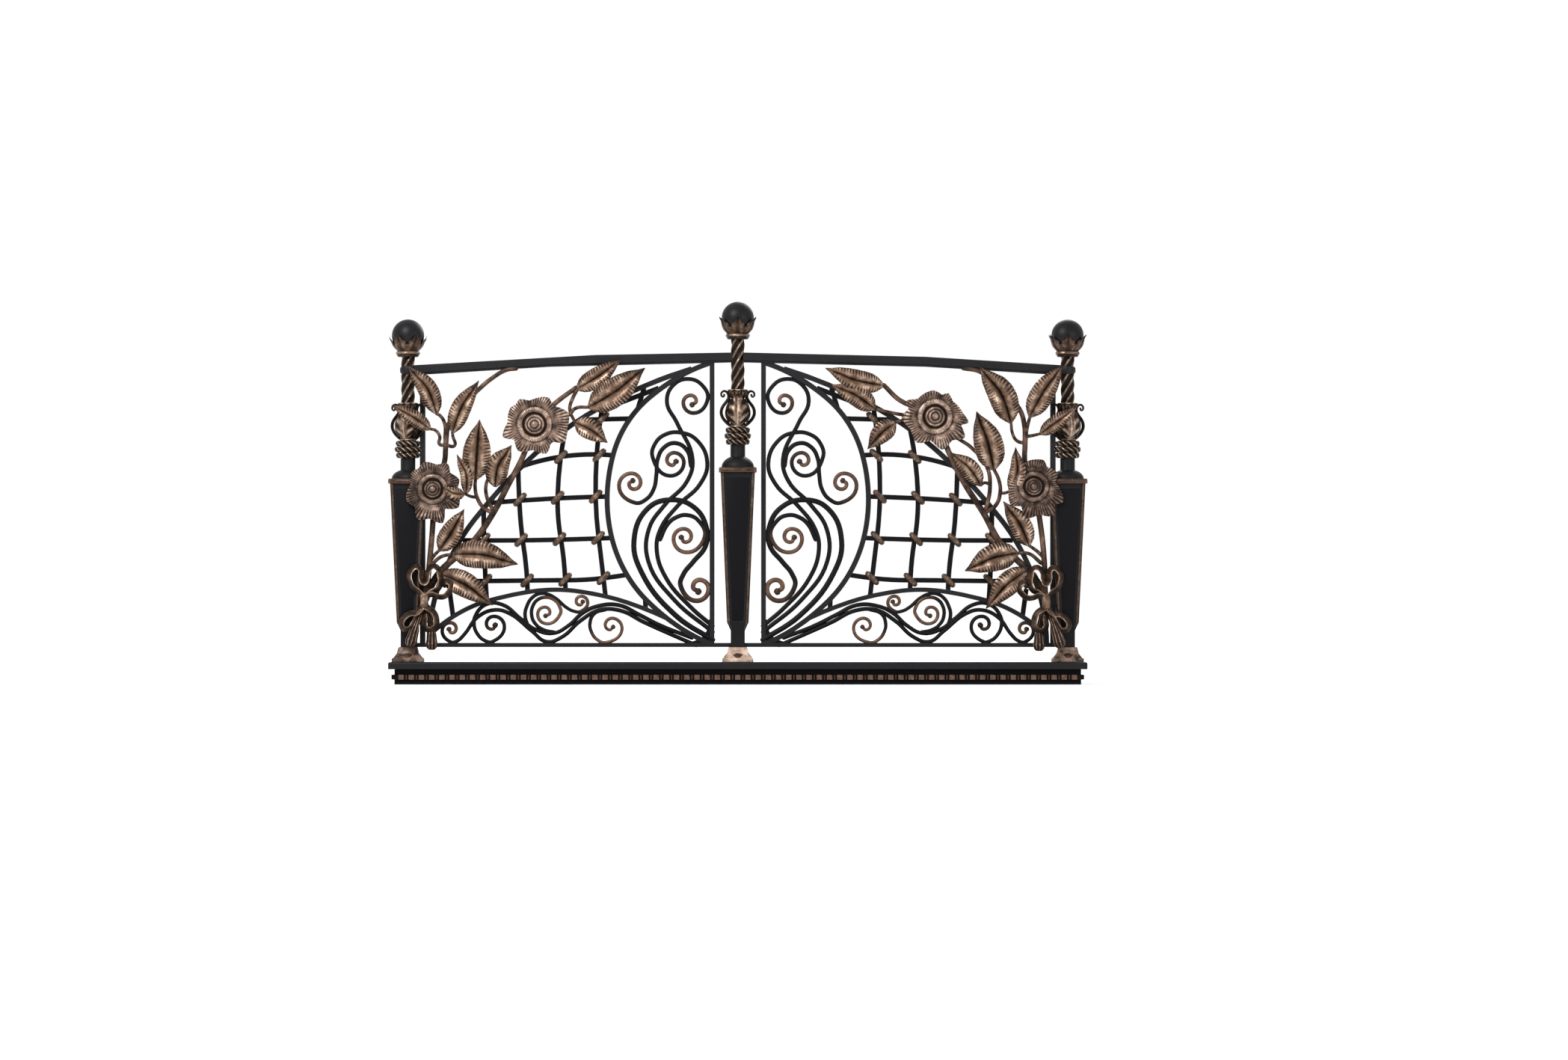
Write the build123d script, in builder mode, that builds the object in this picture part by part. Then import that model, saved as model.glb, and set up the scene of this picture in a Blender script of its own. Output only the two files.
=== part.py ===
"""Wrought iron balcony railing: three posts, an arched handrail and two mirrored infill panels.

Millimetres. The origin is at the middle of the base beam's underside, +Z is up and -Y is the front.
"""
import os
from math import atan2, cos, pi, radians, sin, sqrt

from build123d import *

os.makedirs("parts", exist_ok=True)

# Posts and base
post_pitch = 1102.5
beam_end_overhang = 42.5
beam_depth = 116
beam_height = 51
plate_overhang = 20
plate_height = 23.5
edge_chamfer = 3
dentil_pitch = 34
dentil_width = 18
dentil_height = 16
dentil_band_bottom = 16.5
dentil_back_strip = 5
dentil_projection = 6

# Post foot and shaft
foot_width = 104
foot_height = 50
foot_band_height = 13
foot_band_step = 4
foot_waist_width = 72
foot_waist_height = 29
foot_top_width = 62
shaft_neck_width = 47.5
shaft_neck_height = 55
shaft_heel_width = 70
shaft_heel_height = 82
shaft_top_width = 112.5
side_shaft_height = 546
centre_shaft_height = 584
edge_bead_width = 11
panel_recess = 3
flange_width = 126
flange_height = 16

# Round pieces of a post, from the flange up
bell_diameter = 109
neck_diameter = 49.5
bell_arc = 63
side_bell_height = 33
centre_bell_height = 40
neck_height = 36
rope_diameter = 19.5
rope_ring_diameters = (82, 91, 84)
rope_core_share = 0.8
vase_height = 127
vase_base_diameter = 59
vase_belly_diameter = 78
vase_waist_diameter = 50
vase_rim_diameter = 62
strap_thickness = 6
strap_width = 16
strap_bow_radius = 60
strap_foot_rise = 8
curl_radius = 10
curl_drop = 17
column_diameter = 46
column_strands = 5
column_strand_diameter = 19
column_twist_pitch = 210
side_column_height = 153
centre_column_height = 167
collar_diameter = 81
collar_foot_diameter = 66
collar_height = 26
ball_diameter = 108
ball_centre_rise = 45.5
cup_wall = 3
cup_leaves = 6
cup_low_angle = -62
cup_lip_angle = -12
cup_lip_flare = (8, 9)
cup_notch_height = 60
cup_notch_width = 48

# Rails and stiles
rail_depth = 31
rail_height = 33
rail_cap_height = 26
rail_web_depth = 22
rail_clearance = 0.2
rail_top_at_centre = 1108.5
rail_arch_rise = 44
bottom_rail_height = 14
bottom_rail_depth = 16
stile_width = 16
stile_depth = 16
centre_stile_gap = 156
side_stile_width = 18
side_stile_inset = 58

# Infill bars
arch_bar = 17
lower_arch_bar = 15
net_bar = 16
net_depth = 12
arch_depth = 16
hub_main_bar = 16
hub_bar = 13
wave_bar = 12.5
band_bar = 11
scroll_depth = 14
eye_size = 1.3
wrap_length = 52
wrap_width = 14
wrap_slant = 52
wrap_depth = 22
stem_bar = 20
twig_bar = 12
leaf_thickness = 3
leaf_fold = 0.35

# The panels were drawn on a clear opening of this size, and follow the opening as it changes.
# Heights on the sprays' own drawing start from the ground.
drawn_width = 950
drawn_height = 935
drawn_rail_top = 138.5

# Heights and places that the sizes above give
beam_length = 2 * (post_pitch + beam_end_overhang)
plate_bottom = beam_height
plate_top = plate_bottom + plate_height
foot_top = plate_top + foot_height
rail_radius = (post_pitch**2 + rail_arch_rise**2) / (2 * rail_arch_rise)
rail_axis_z = rail_top_at_centre - rail_radius
bottom_rail_top = foot_top + bottom_rail_height
stile_face = centre_stile_gap / 2 + stile_width
clear_width = post_pitch - side_stile_inset - stile_face
clear_height = rail_top_at_centre - rail_height - bottom_rail_top
panel_front = -arch_depth / 2
stem_y = panel_front - stem_bar / 2
stem_front = panel_front - stem_bar
sides = (("left", -1), ("right", 1))


def at(side, across, up):
    """A point of a panel, measured on the drawing from the centre stile and the bottom rail."""
    x = stile_face + across * clear_width / drawn_width
    z = bottom_rail_top + up * clear_height / drawn_height
    return (side * x, z)


def from_post(side, inward, height):
    """A point of a spray, measured on the drawing from the side post's axis and the ground."""
    x = post_pitch - inward * clear_width / drawn_width
    z = bottom_rail_top + (height - drawn_rail_top) * clear_height / drawn_height
    return (side * x, z)


def mirrored(heading, chord):
    """A heading reflected about a chord, which is how an arc's two ends face."""
    return (chord * (2 * heading.dot(chord) / chord.dot(chord)) - heading).normalized()


def bent_bar(points):
    """Draw a bar's axis through the points, as two tangent arcs from each point to the next."""
    points = [Vector(*point) for point in points]
    if len(points) == 3:
        ThreePointArc(*points)
        return
    chords = [after - before for before, after in zip(points, points[1:])]
    headings = [
        (chord / chord.dot(chord) + following / following.dot(following)).normalized()
        for chord, following in zip(chords, chords[1:])
    ]
    headings.insert(0, mirrored(headings[0], chords[0]))
    headings.append(mirrored(headings[-1], chords[-1]))
    for start, chord, heading, next_heading in zip(points, chords, headings, headings[1:]):
        along = chord.dot(heading + next_heading)
        bend = 2 * (1 - heading.dot(next_heading))
        reach = chord.dot(chord) / (along + sqrt(along**2 + bend * chord.dot(chord)))
        middle = start + (chord + (heading - next_heading) * reach) / 2
        first_arc = TangentArc(start, middle, tangent=heading)
        TangentArc(middle, start + chord, tangent=first_arc % 1)


def wound(stem, eye, turns, eye_radius):
    """A stem's points and the spiral on round its eye, anticlockwise where turns is positive."""
    arm = Vector(*stem[-1]) - Vector(*eye)
    steps = round(4 * abs(turns))
    spiral = []
    for step in range(1, steps + 1):
        radius = arm.length * (eye_radius / arm.length) ** (step / steps)
        angle = atan2(arm.Y, arm.X) + 2 * pi * turns * step / steps
        spiral.append((eye[0] + radius * cos(angle), eye[1] + radius * sin(angle)))
    return (*stem, *spiral)


def stroke(points, width):
    """Draw a bar's face in the panel's plane."""
    with BuildLine(Plane.XY, mode=Mode.PRIVATE) as axis_line:
        if len(points) == 2:
            Line(*points)
        else:
            bent_bar(points)
    trace(axis_line.edges(), line_width=width)


def save(piece, name):
    piece.part.label = name
    export_step(piece.part, f"parts/{name}.step")


# Base: a box beam, the plate on it and a band of dentils round the beam
with BuildPart() as base_beam:
    Box(beam_length, beam_depth, beam_height, align=(Align.CENTER, Align.CENTER, Align.MIN))
save(base_beam, "base_beam")

plate_length = beam_length + 2 * plate_overhang
plate_depth = beam_depth + 2 * plate_overhang
with BuildPart() as base_top_plate:
    with BuildSketch(Plane.XY.offset(plate_bottom)):
        Rectangle(plate_length, plate_depth)
    extrude(amount=plate_height)
    chamfer(base_top_plate.faces().sort_by(Axis.Z)[-1].edges(), edge_chamfer)
save(base_top_plate, "base_top_plate")

band_length = beam_length + 2 * dentil_back_strip
band_depth = beam_depth + 2 * dentil_back_strip
front_count = int(beam_length // dentil_pitch)
end_count = int(beam_depth // dentil_pitch)
with BuildPart() as dentil_band:
    with BuildSketch(Plane.XY.offset(dentil_band_bottom)):
        Rectangle(band_length, band_depth)
        with GridLocations(dentil_pitch, band_depth + dentil_projection, front_count, 2):
            Rectangle(dentil_width, dentil_projection)
        with GridLocations(band_length + dentil_projection, dentil_pitch, 2, end_count):
            Rectangle(dentil_projection, dentil_width)
        Rectangle(beam_length, beam_depth, mode=Mode.SUBTRACT)
    extrude(amount=dentil_height)
save(dentil_band, "dentil_band")


def square_section(width):
    Rectangle(width, width)


def panelled_section(width):
    """A square whose four sides are sunk between the corner beads."""
    Rectangle(width, width)
    panel = width - 2 * edge_bead_width
    with PolarLocations(width / 2, 4):
        Rectangle(2 * panel_recess, panel, mode=Mode.SUBTRACT)


def build_foot(name, x):
    with BuildPart() as foot:
        with BuildSketch(Plane((x, 0, plate_top))):
            square_section(foot_width)
        extrude(amount=foot_band_height)
        flare = (
            (foot_band_height, foot_width - 2 * foot_band_step),
            (foot_waist_height, foot_waist_width),
            (foot_height, foot_top_width),
        )
        for height, width in flare:
            with BuildSketch(Plane((x, 0, plate_top + height))):
                square_section(width)
        loft(ruled=True)
    save(foot, f"{name}_post_foot")


def build_shaft(name, x, shaft_height, bell_height):
    """Neck, heel and tapered panelled shaft, then the flange and the bell on it."""
    with BuildPart() as shaft:
        for height, width in (
            (0, shaft_neck_width),
            (shaft_neck_height, shaft_neck_width),
            (shaft_heel_height, shaft_heel_width),
        ):
            with BuildSketch(Plane((x, 0, foot_top + height))):
                square_section(width)
        loft(ruled=True)
        for height, width in ((shaft_heel_height, shaft_heel_width), (shaft_height, shaft_top_width)):
            with BuildSketch(Plane((x, 0, foot_top + height))):
                panelled_section(width)
        loft(ruled=True)
        with BuildSketch(Plane((x, 0, foot_top + shaft_height))):
            square_section(flange_width)
        extrude(amount=flange_height)
        chamfer(shaft.faces().sort_by(Axis.Z)[-1].edges(), edge_chamfer)
        flange_top = foot_top + shaft_height + flange_height
        bell_top = flange_top + bell_height
        with BuildSketch(Plane((x, 0, flange_top), x_dir=(1, 0, 0), z_dir=(0, -1, 0))):
            with BuildLine():
                Line((0, 0), (bell_diameter / 2, 0))
                dome = EllipticalCenterArc(
                    (0, 0), bell_diameter / 2, bell_height, start_angle=0, arc_size=bell_arc
                )
                Polyline(
                    dome @ 1,
                    (neck_diameter / 2, bell_height),
                    (neck_diameter / 2, bell_height + neck_height),
                    (0, bell_height + neck_height),
                    (0, 0),
                )
            make_face()
        revolve(axis=Axis((x, 0, 0), (0, 0, 1)))
    save(shaft, f"{name}_post_shaft")
    return shaft, bell_top + neck_height


def build_rope(name, x, bottom):
    """Three rope rings wound on one core."""
    ring_height = rope_diameter
    with BuildPart() as rope:
        with BuildSketch(Plane((x, 0, bottom), x_dir=(1, 0, 0), z_dir=(0, -1, 0))):
            core = min(rope_ring_diameters) / 2 - rope_diameter / 2
            height = ring_height * len(rope_ring_diameters)
            Rectangle(core, height, align=(Align.MIN, Align.MIN))
            for turn, diameter in enumerate(rope_ring_diameters):
                ring = diameter / 2 - rope_diameter / 2
                with Locations((ring, ring_height * (turn + 0.5))):
                    Circle(rope_diameter / 2)
                with Locations((0, ring_height * (turn + 0.5))):
                    Rectangle(ring, ring_height * rope_core_share, align=(Align.MIN, Align.CENTER))
        revolve(axis=Axis((x, 0, 0), (0, 0, 1)))
    save(rope, f"{name}_post_rope")
    return rope


def build_vase(name, x, bottom, strap_turn):
    """A bulb with four bowed straps that end in curls."""
    base_r = vase_base_diameter / 2
    belly_r = vase_belly_diameter / 2
    rim_r = vase_rim_diameter / 2
    with BuildPart() as vase:
        with BuildSketch(Plane((x, 0, bottom), x_dir=(1, 0, 0), z_dir=(0, -1, 0))):
            with BuildLine():
                Line((0, 0), (base_r, 0))
                Spline(
                    (base_r, 0),
                    (belly_r, vase_height * 0.4),
                    (vase_waist_diameter / 2, vase_height * 0.8),
                    (rim_r, vase_height),
                )
                Line((rim_r, vase_height), (0, vase_height))
                Line((0, vase_height), (0, 0))
            make_face()
        revolve(axis=Axis((x, 0, 0), (0, 0, 1)))
        curl_centre = (strap_bow_radius - 1.2 * curl_radius, vase_height - curl_drop)
        for turn in range(4):
            angle = radians(90 * turn + strap_turn)
            out = (cos(angle), sin(angle), 0)
            across = (sin(angle), -cos(angle), 0)
            with BuildSketch(Plane((x, 0, bottom), x_dir=out, z_dir=across)):
                strap_line = (
                    (base_r - strap_thickness, strap_foot_rise),
                    (strap_bow_radius - 1.6 * strap_thickness, strap_foot_rise + 14),
                    (strap_bow_radius - strap_thickness / 2, vase_height * 0.4),
                    (rim_r + strap_thickness, vase_height * 0.7),
                    (curl_centre[0] - curl_radius + strap_thickness / 2, curl_centre[1]),
                )
                stroke(strap_line, strap_thickness)
                with Locations(curl_centre):
                    Circle(curl_radius)
            extrude(amount=strap_width / 2, both=True)
    save(vase, f"{name}_post_vase")
    return vase


def build_column(name, x, bottom, height):
    """Thick strands laid round a core and twisted together on the way up."""
    strand_ring = (column_diameter - column_strand_diameter) / 2
    with BuildSketch() as section:
        Circle(strand_ring)
        with PolarLocations(strand_ring, column_strands):
            Circle(column_strand_diameter / 2)
    twisted = Solid.extrude_linear_with_rotation(
        section.face().moved(Location((x, 0, bottom))),
        center=(x, 0, bottom),
        normal=(0, 0, height),
        angle=360 * height / column_twist_pitch,
    )
    with BuildPart() as column:
        add(twisted)
    save(column, f"{name}_post_column")


def build_ball_and_cup(name, x, bottom, leaf_turn):
    """A moulded collar and a cup of leaves that holds the ball."""
    ball_z = bottom + collar_height + ball_centre_rise
    ball_r = ball_diameter / 2
    centre = collar_height + ball_centre_rise
    outer = ball_r + cup_wall
    low = radians(cup_low_angle)
    high = radians(cup_lip_angle)
    with BuildPart() as cup:
        section = Plane((x, 0, bottom), x_dir=(1, 0, 0), z_dir=(0, -1, 0))
        with BuildSketch(section):
            with BuildLine():
                Polyline(
                    (0, 0),
                    (collar_foot_diameter / 2, 0),
                    (collar_diameter / 2 - 2, 7),
                    (collar_diameter / 2, 15),
                    (collar_diameter / 2 - 5, 22),
                    (outer * cos(low), centre + outer * sin(low)),
                )
                outer_edge = Vector(outer * cos(high), centre + outer * sin(high))
                lip = outer_edge + Vector(*cup_lip_flare)
                CenterArc((0, centre), outer, cup_low_angle, cup_lip_angle - cup_low_angle)
                Line(outer_edge, lip)
                Line(lip, (ball_r * cos(high), centre + ball_r * sin(high)))
                CenterArc((0, centre), ball_r, -90, 90 + cup_lip_angle)
                Line((0, centre - ball_r), (0, 0))
            make_face()
        revolve(axis=Axis((x, 0, 0), (0, 0, 1)))
        notch_bottom = bottom + collar_height + 2 * cup_wall
        for leaf in range(cup_leaves):
            angle = radians(leaf_turn + leaf * 360 / cup_leaves)
            out = (cos(angle), sin(angle), 0)
            side_way = (-sin(angle), cos(angle), 0)
            with BuildSketch(Plane((x, 0, notch_bottom), x_dir=side_way, z_dir=out)):
                Polygon(
                    (0, 0),
                    (cup_notch_width / 2, cup_notch_height),
                    (-cup_notch_width / 2, cup_notch_height),
                    align=None,
                )
            extrude(amount=2 * ball_r, mode=Mode.SUBTRACT)
    save(cup, f"{name}_post_cup")
    with BuildPart() as ball:
        with Locations((x, 0, ball_z)):
            Sphere(ball_r)
    save(ball, f"{name}_post_ball")


shafts = []
collars = []
# Each post: where it stands, its own heights, and how its straps and its cup's notches are turned
posts = (
    ("left", -post_pitch, side_shaft_height, side_bell_height, side_column_height, 70, 30),
    ("centre", 0, centre_shaft_height, centre_bell_height, centre_column_height, 0, 0),
    ("right", post_pitch, side_shaft_height, side_bell_height, side_column_height, 45, 0),
)
for name, x, shaft_height, bell_height, column_height, strap_turn, notch_turn in posts:
    build_foot(name, x)
    shaft, neck_top = build_shaft(name, x, shaft_height, bell_height)
    shafts.append(shaft)
    rope_top = neck_top + rope_diameter * len(rope_ring_diameters)
    vase_top = rope_top + vase_height
    collars.append(build_rope(name, x, neck_top))
    collars.append(build_vase(name, x, rope_top, strap_turn))
    build_column(name, x, vase_top, column_height)
    build_ball_and_cup(name, x, vase_top + column_height, notch_turn)

# Handrail: an arched cap on a narrower web, let in between the three columns
rail_layers = ((rail_depth, 0, rail_cap_height), (rail_web_depth, rail_cap_height, rail_height))
with BuildPart() as handrail:
    for depth, top_drop, bottom_drop in rail_layers:
        with BuildSketch(Plane.XZ.offset(-depth / 2)):
            Rectangle(2 * post_pitch, 2 * rail_top_at_centre)
            with Locations((0, rail_axis_z)):
                Circle(rail_radius - top_drop, mode=Mode.INTERSECT)
                Circle(rail_radius - bottom_drop, mode=Mode.SUBTRACT)
        extrude(amount=depth)
    for x in (-post_pitch, 0, post_pitch):
        with BuildSketch(Plane.XY.offset(rail_top_at_centre - rail_arch_rise - 2 * rail_height)):
            with Locations((x, 0)):
                Circle(column_diameter / 2 + rail_clearance)
        extrude(amount=rail_arch_rise + 3 * rail_height, mode=Mode.SUBTRACT)
save(handrail, "handrail")

# Bottom rail: a flat bar between the posts' necks
with BuildPart() as bottom_rail:
    with Locations((0, 0, foot_top)):
        Box(
            2 * post_pitch,
            bottom_rail_depth,
            bottom_rail_height,
            align=(Align.CENTER, Align.CENTER, Align.MIN),
        )
    for shaft in shafts:
        add(shaft.part, mode=Mode.SUBTRACT)
save(bottom_rail, "bottom_rail")

# Stiles: square bars from the bottom rail to the handrail
with BuildPart() as centre_stiles:
    for side_name, side in sides:
        x = side * (centre_stile_gap + stile_width) / 2
        with Locations((x, 0, bottom_rail_top)):
            Box(
                stile_width,
                stile_depth,
                rail_top_at_centre - bottom_rail_top,
                align=(Align.CENTER, Align.CENTER, Align.MIN),
            )
    add(handrail.part, mode=Mode.SUBTRACT)
    for solid in centre_stiles.solids().sort_by(Axis.Z)[2:]:
        add(solid, mode=Mode.SUBTRACT)
save(centre_stiles, "centre_stiles")

for side_name, side in sides:
    stile_x = side * (post_pitch - side_stile_inset + side_stile_width / 2)
    with BuildPart() as side_stile:
        with Locations((stile_x, 0, bottom_rail_top)):
            Box(
                side_stile_width,
                stile_depth,
                rail_top_at_centre - rail_arch_rise - rail_height / 2 - bottom_rail_top,
                align=(Align.CENTER, Align.CENTER, Align.MIN),
            )
        for piece in (handrail, *shafts, *collars):
            add(piece.part, mode=Mode.SUBTRACT)
    save(side_stile, f"{side_name}_side_stile")

# Infill of a panel, drawn from the centre stile (across) and the bottom rail (up)
round_arch_line = ((-10, 936), (115, 880), (276, 733), (341, 520), (264, 207), (144, 83), (-14, -8))
outer_arch_line = ((60, 914), (205, 862), (459, 728), (693, 521), (862, 291), (925, 120), (938, -12))
lower_arch_line = ((940, 22), (814, 112), (660, 160), (534, 177), (343, 154), (208, 110), (-12, -8))
net_lines = (
    ((870, 180), (855, 70)),
    ((755, 470), (755, 416), (749, 208), (744, 130)),
    ((640, 600), (633, 423), (610, 208), (608, 150)),
    ((480, 720), (508, 488), (483, 212), (481, 150)),
    ((355, 810), (381, 489), (355, 216), (345, 130)),
    ((219, 850), (245, 765)),
    ((217, 175), (213, 95)),
    ((300, 800), (170, 850)),
    ((430, 744), (255, 748)),
    ((630, 588), (514, 618), (320, 625)),
    ((740, 466), (509, 482), (340, 488)),
    ((825, 342), (628, 342), (325, 350)),
    ((915, 207), (605, 208), (354, 216), (260, 230)),
)
net_crossings = (
    (358, 748), (497, 620), (369, 625), (634, 478), (508, 484), (381, 488), (755, 344),
    (630, 343), (502, 346), (373, 350), (749, 207), (610, 208), (483, 211), (355, 216),
)
# Each scroll: its bar, the points of its stem, the eye it winds round, its turns and its last radius
hub_scrolls = (
    (hub_main_bar, ((-10, 10), (113, 91), (227, 234), (253, 340), (207, 448), (132, 477), (52, 452),
     (11, 385), (13, 325), (56, 269), (87, 230), (97, 190)), (37, 185), -1.25, 14),
    (hub_bar, ((-10, 36), (120, 145), (205, 272), (203, 380), (151, 459), (75, 540), (57, 610),
     (110, 735), (143, 805), (120, 861), (70, 880), (25, 859), (7, 811)), (60, 805), 1.25, 11),
    (hub_bar, ((-10, 56), (63, 119), (145, 215), (177, 310), (165, 378), (107, 457), (31, 531),
     (8, 600), (44, 677), (96, 701), (148, 695), (182, 665), (191, 620)), (123, 607), -1.5, 11),
    (hub_bar, ((62, 590), (75, 641), (113, 666), (151, 653), (174, 612), (178, 562), (187, 513),
     (212, 479), (249, 467)), (256, 531), 1.5, 10),
    (hub_bar, ((166, 345), (141, 395), (113, 418), (75, 426), (38, 408), (17, 352)), (83, 352), 1.5, 12),
)
band_scrolls = (
    (wave_bar, ((45, -8), (140, 33), (218, 68), (300, 108), (370, 109), (430, 75), (496, 18),
     (545, 4), (594, 39), (667, 97), (717, 110), (774, 87), (821, 27), (843, 7), (865, 3)),
     (863, 45), 1.25, 8),
    (wave_bar, ((60, 17), (171, 61), (234, 93), (305, 126), (376, 122), (424, 100), (471, 58),
     (524, 32), (585, 46), (632, 81), (692, 127), (745, 129), (783, 90), (787, 58), (774, 27),
     (752, 8), (727, 4)), (726, 60), -1.25, 10),
    (band_bar, ((345, 112), (386, 97), (400, 66), (395, 36), (376, 11), (348, 1)), (331, 56), -1.25, 9),
    (band_bar, ((604, 48), (617, 93), (611, 122), (594, 150), (569, 164), (544, 163), (515, 149),
     (480, 119), (455, 106), (431, 105)), (432, 137), -1.25, 8),
    (band_bar, ((520, 36), (553, 43), (582, 63), (595, 93), (590, 125), (573, 145), (547, 152),
     (520, 144), (502, 122), (499, 97)), (548, 100), 1.25, 10),
)


def on_panel(side, line):
    return [at(side, across, up) for across, up in line]


def enclosed(side, line, corners=()):
    """The area between a bent bar's axis and the straight way back, by way of the corners."""
    with BuildSketch(Plane.XZ, mode=Mode.PRIVATE) as area:
        with BuildLine(Plane.XY, mode=Mode.PRIVATE) as border:
            bent_bar(on_panel(side, line))
            Polyline(at(side, *line[-1]), *[at(side, *c) for c in corners], at(side, *line[0]))
        make_face(border.edges())
    return area.sketch_local


infill = {}
for side_name, side in sides:
    hub_area = enclosed(side, round_arch_line)
    outer_area = enclosed(side, outer_arch_line, ((0, -40), (0, 926)))
    band_area = enclosed(side, lower_arch_line)
    with BuildSketch(Plane.XZ) as opening_face:
        with BuildLine():
            Polyline(
                at(side, 0, 0), at(side, drawn_width, 0), at(side, drawn_width, drawn_height),
                at(side, 0, drawn_height), close=True,
            )
        make_face()
        with Locations((0, rail_axis_z)):
            Circle(rail_radius - rail_height, mode=Mode.INTERSECT)
    with BuildSketch(Plane.XZ) as round_arch_face:
        stroke(on_panel(side, round_arch_line), arch_bar)
        add(opening_face.sketch_local, mode=Mode.INTERSECT)
    with BuildSketch(Plane.XZ) as outer_arch_face:
        stroke(on_panel(side, outer_arch_line), arch_bar)
        add(opening_face.sketch_local, mode=Mode.INTERSECT)
        add(hub_area, mode=Mode.SUBTRACT)
        add(round_arch_face.sketch_local, mode=Mode.SUBTRACT)
    with BuildSketch(Plane.XZ) as lower_arch_face:
        stroke(on_panel(side, lower_arch_line), lower_arch_bar)
        add(opening_face.sketch_local, mode=Mode.INTERSECT)
        add(hub_area, mode=Mode.SUBTRACT)
        add(outer_area, mode=Mode.INTERSECT)
        add(round_arch_face.sketch_local, mode=Mode.SUBTRACT)
        add(outer_arch_face.sketch_local, mode=Mode.SUBTRACT)
    arches = (round_arch_face, outer_arch_face, lower_arch_face)
    with BuildSketch(Plane.XZ) as net_face:
        for line in net_lines:
            stroke(on_panel(side, line), net_bar)
        add(outer_area, mode=Mode.INTERSECT)
        add(hub_area, mode=Mode.SUBTRACT)
        add(band_area, mode=Mode.SUBTRACT)
        for arch in arches:
            add(arch.sketch_local, mode=Mode.SUBTRACT)
    scroll_faces = []
    for scrolls in (hub_scrolls, band_scrolls):
        with BuildSketch(Plane.XZ) as scroll_face:
            for bar, stem, eye, turns, eye_radius in scrolls:
                line = on_panel(side, wound(stem, eye, turns, eye_radius))
                stroke(line, bar)
                with Locations(line[-1]):
                    Circle(eye_size * bar / 2)
            add(opening_face.sketch_local, mode=Mode.INTERSECT)
            for arch in arches:
                add(arch.sketch_local, mode=Mode.SUBTRACT)
        scroll_faces.append(scroll_face)
    pieces = (
        ("round_arch", round_arch_face, arch_depth),
        ("outer_arch", outer_arch_face, arch_depth),
        ("lower_arch", lower_arch_face, arch_depth),
        ("net", net_face, net_depth),
        ("hub_scrolls", scroll_faces[0], scroll_depth),
        ("band_scrolls", scroll_faces[1], scroll_depth),
    )
    for piece_name, face, depth in pieces:
        with BuildPart() as bar:
            with BuildSketch(Plane.XZ.offset(-depth / 2)):
                add(face.sketch_local)
            extrude(amount=depth)
        save(bar, f"{side_name}_{piece_name}")
        infill[side_name, piece_name] = bar

# Sprays: round stems in front of the panel, with leaves, flowers and a bow.
# Points are measured inward from the side post's axis, and up from the ground.
stem_lines = {
    "left": (
        ((72, 215), (57, 287), (107, 374), (216, 473), (281, 564), (339, 672), (385, 760), (424, 867),
         (489, 934), (562, 989)),
        ((47, 117), (57, 287), (72, 399), (84, 540), (88, 654), (127, 739), (129, 800)),
    ),
    "right": (
        ((86, 215), (74, 287), (136, 382), (222, 467), (282, 572), (345, 670), (400, 780), (444, 894),
         (561, 947), (614, 997)),
        ((56, 117), (74, 287), (79, 414), (96, 562), (116, 664), (144, 732), (141, 839)),
    ),
}
twig_lines = {
    "left": (
        ((127, 780), (170, 900), (236, 979), (299, 1031), (357, 1048)),
        ((127, 780), (112, 840), (97, 902)),
        ((108, 700), (70, 790), (77, 851)),
        ((127, 780), (130, 815), (149, 839)),
        ((440, 885), (520, 895), (558, 920), (603, 924)),
        ((520, 895), (545, 890), (558, 874)),
        ((268, 540), (238, 600), (224, 682)),
        ((310, 610), (290, 630), (292, 662)),
        ((235, 500), (180, 560), (165, 640)),
        ((70, 400), (88, 425), (105, 447)),
        ((145, 400), (150, 415), (148, 434)),
    ),
    "right": (
        ((143, 800), (166, 922), (230, 990), (294, 1042), (349, 1051)),
        ((141, 820), (135, 860), (125, 897)),
        ((130, 700), (92, 780), (96, 835)),
        ((141, 820), (160, 858), (187, 873)),
        ((450, 895), (560, 900), (644, 918)),
        ((450, 890), (530, 885), (575, 873)),
        ((275, 560), (256, 640), (249, 717)),
        ((330, 640), (305, 645), (291, 662)),
        ((250, 520), (200, 590), (184, 657)),
        ((80, 420), (100, 440), (129, 463)),
        ((160, 405), (168, 420), (166, 438)),
    ),
}
# Each leaf: base inward and up, tip inward and up, width, and how far the tip stands in front
leaf_places = {
    "left": (
        (563, 985, 697, 1075, 61, 20), (603, 924, 785, 1057, 86, 24), (558, 874, 667, 807, 66, 16),
        (97, 902, 2, 1058, 74, 30), (77, 851, -48, 929, 46, 85), (149, 839, 238, 1012, 66, 20),
        (224, 682, 241, 882, 96, 24), (292, 662, 347, 797, 76, 20), (165, 640, 165, 764, 66, 60),
        (105, 447, 189, 582, 71, 20), (148, 434, 366, 402, 88, 24), (110, 370, 282, 268, 82, 20),
    ),
    "right": (
        (614, 997, 809, 1054, 72, 20), (644, 918, 789, 999, 72, 24), (575, 873, 669, 786, 66, 16),
        (187, 873, 294, 1057, 91, 20), (125, 897, 21, 1064, 72, 30), (96, 835, -24, 922, 46, 85),
        (249, 717, 304, 907, 96, 24), (291, 662, 390, 771, 72, 20), (184, 657, 181, 786, 68, 60),
        (129, 463, 214, 608, 72, 20), (166, 438, 342, 380, 90, 24), (134, 382, 272, 257, 80, 20),
    ),
}
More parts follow.
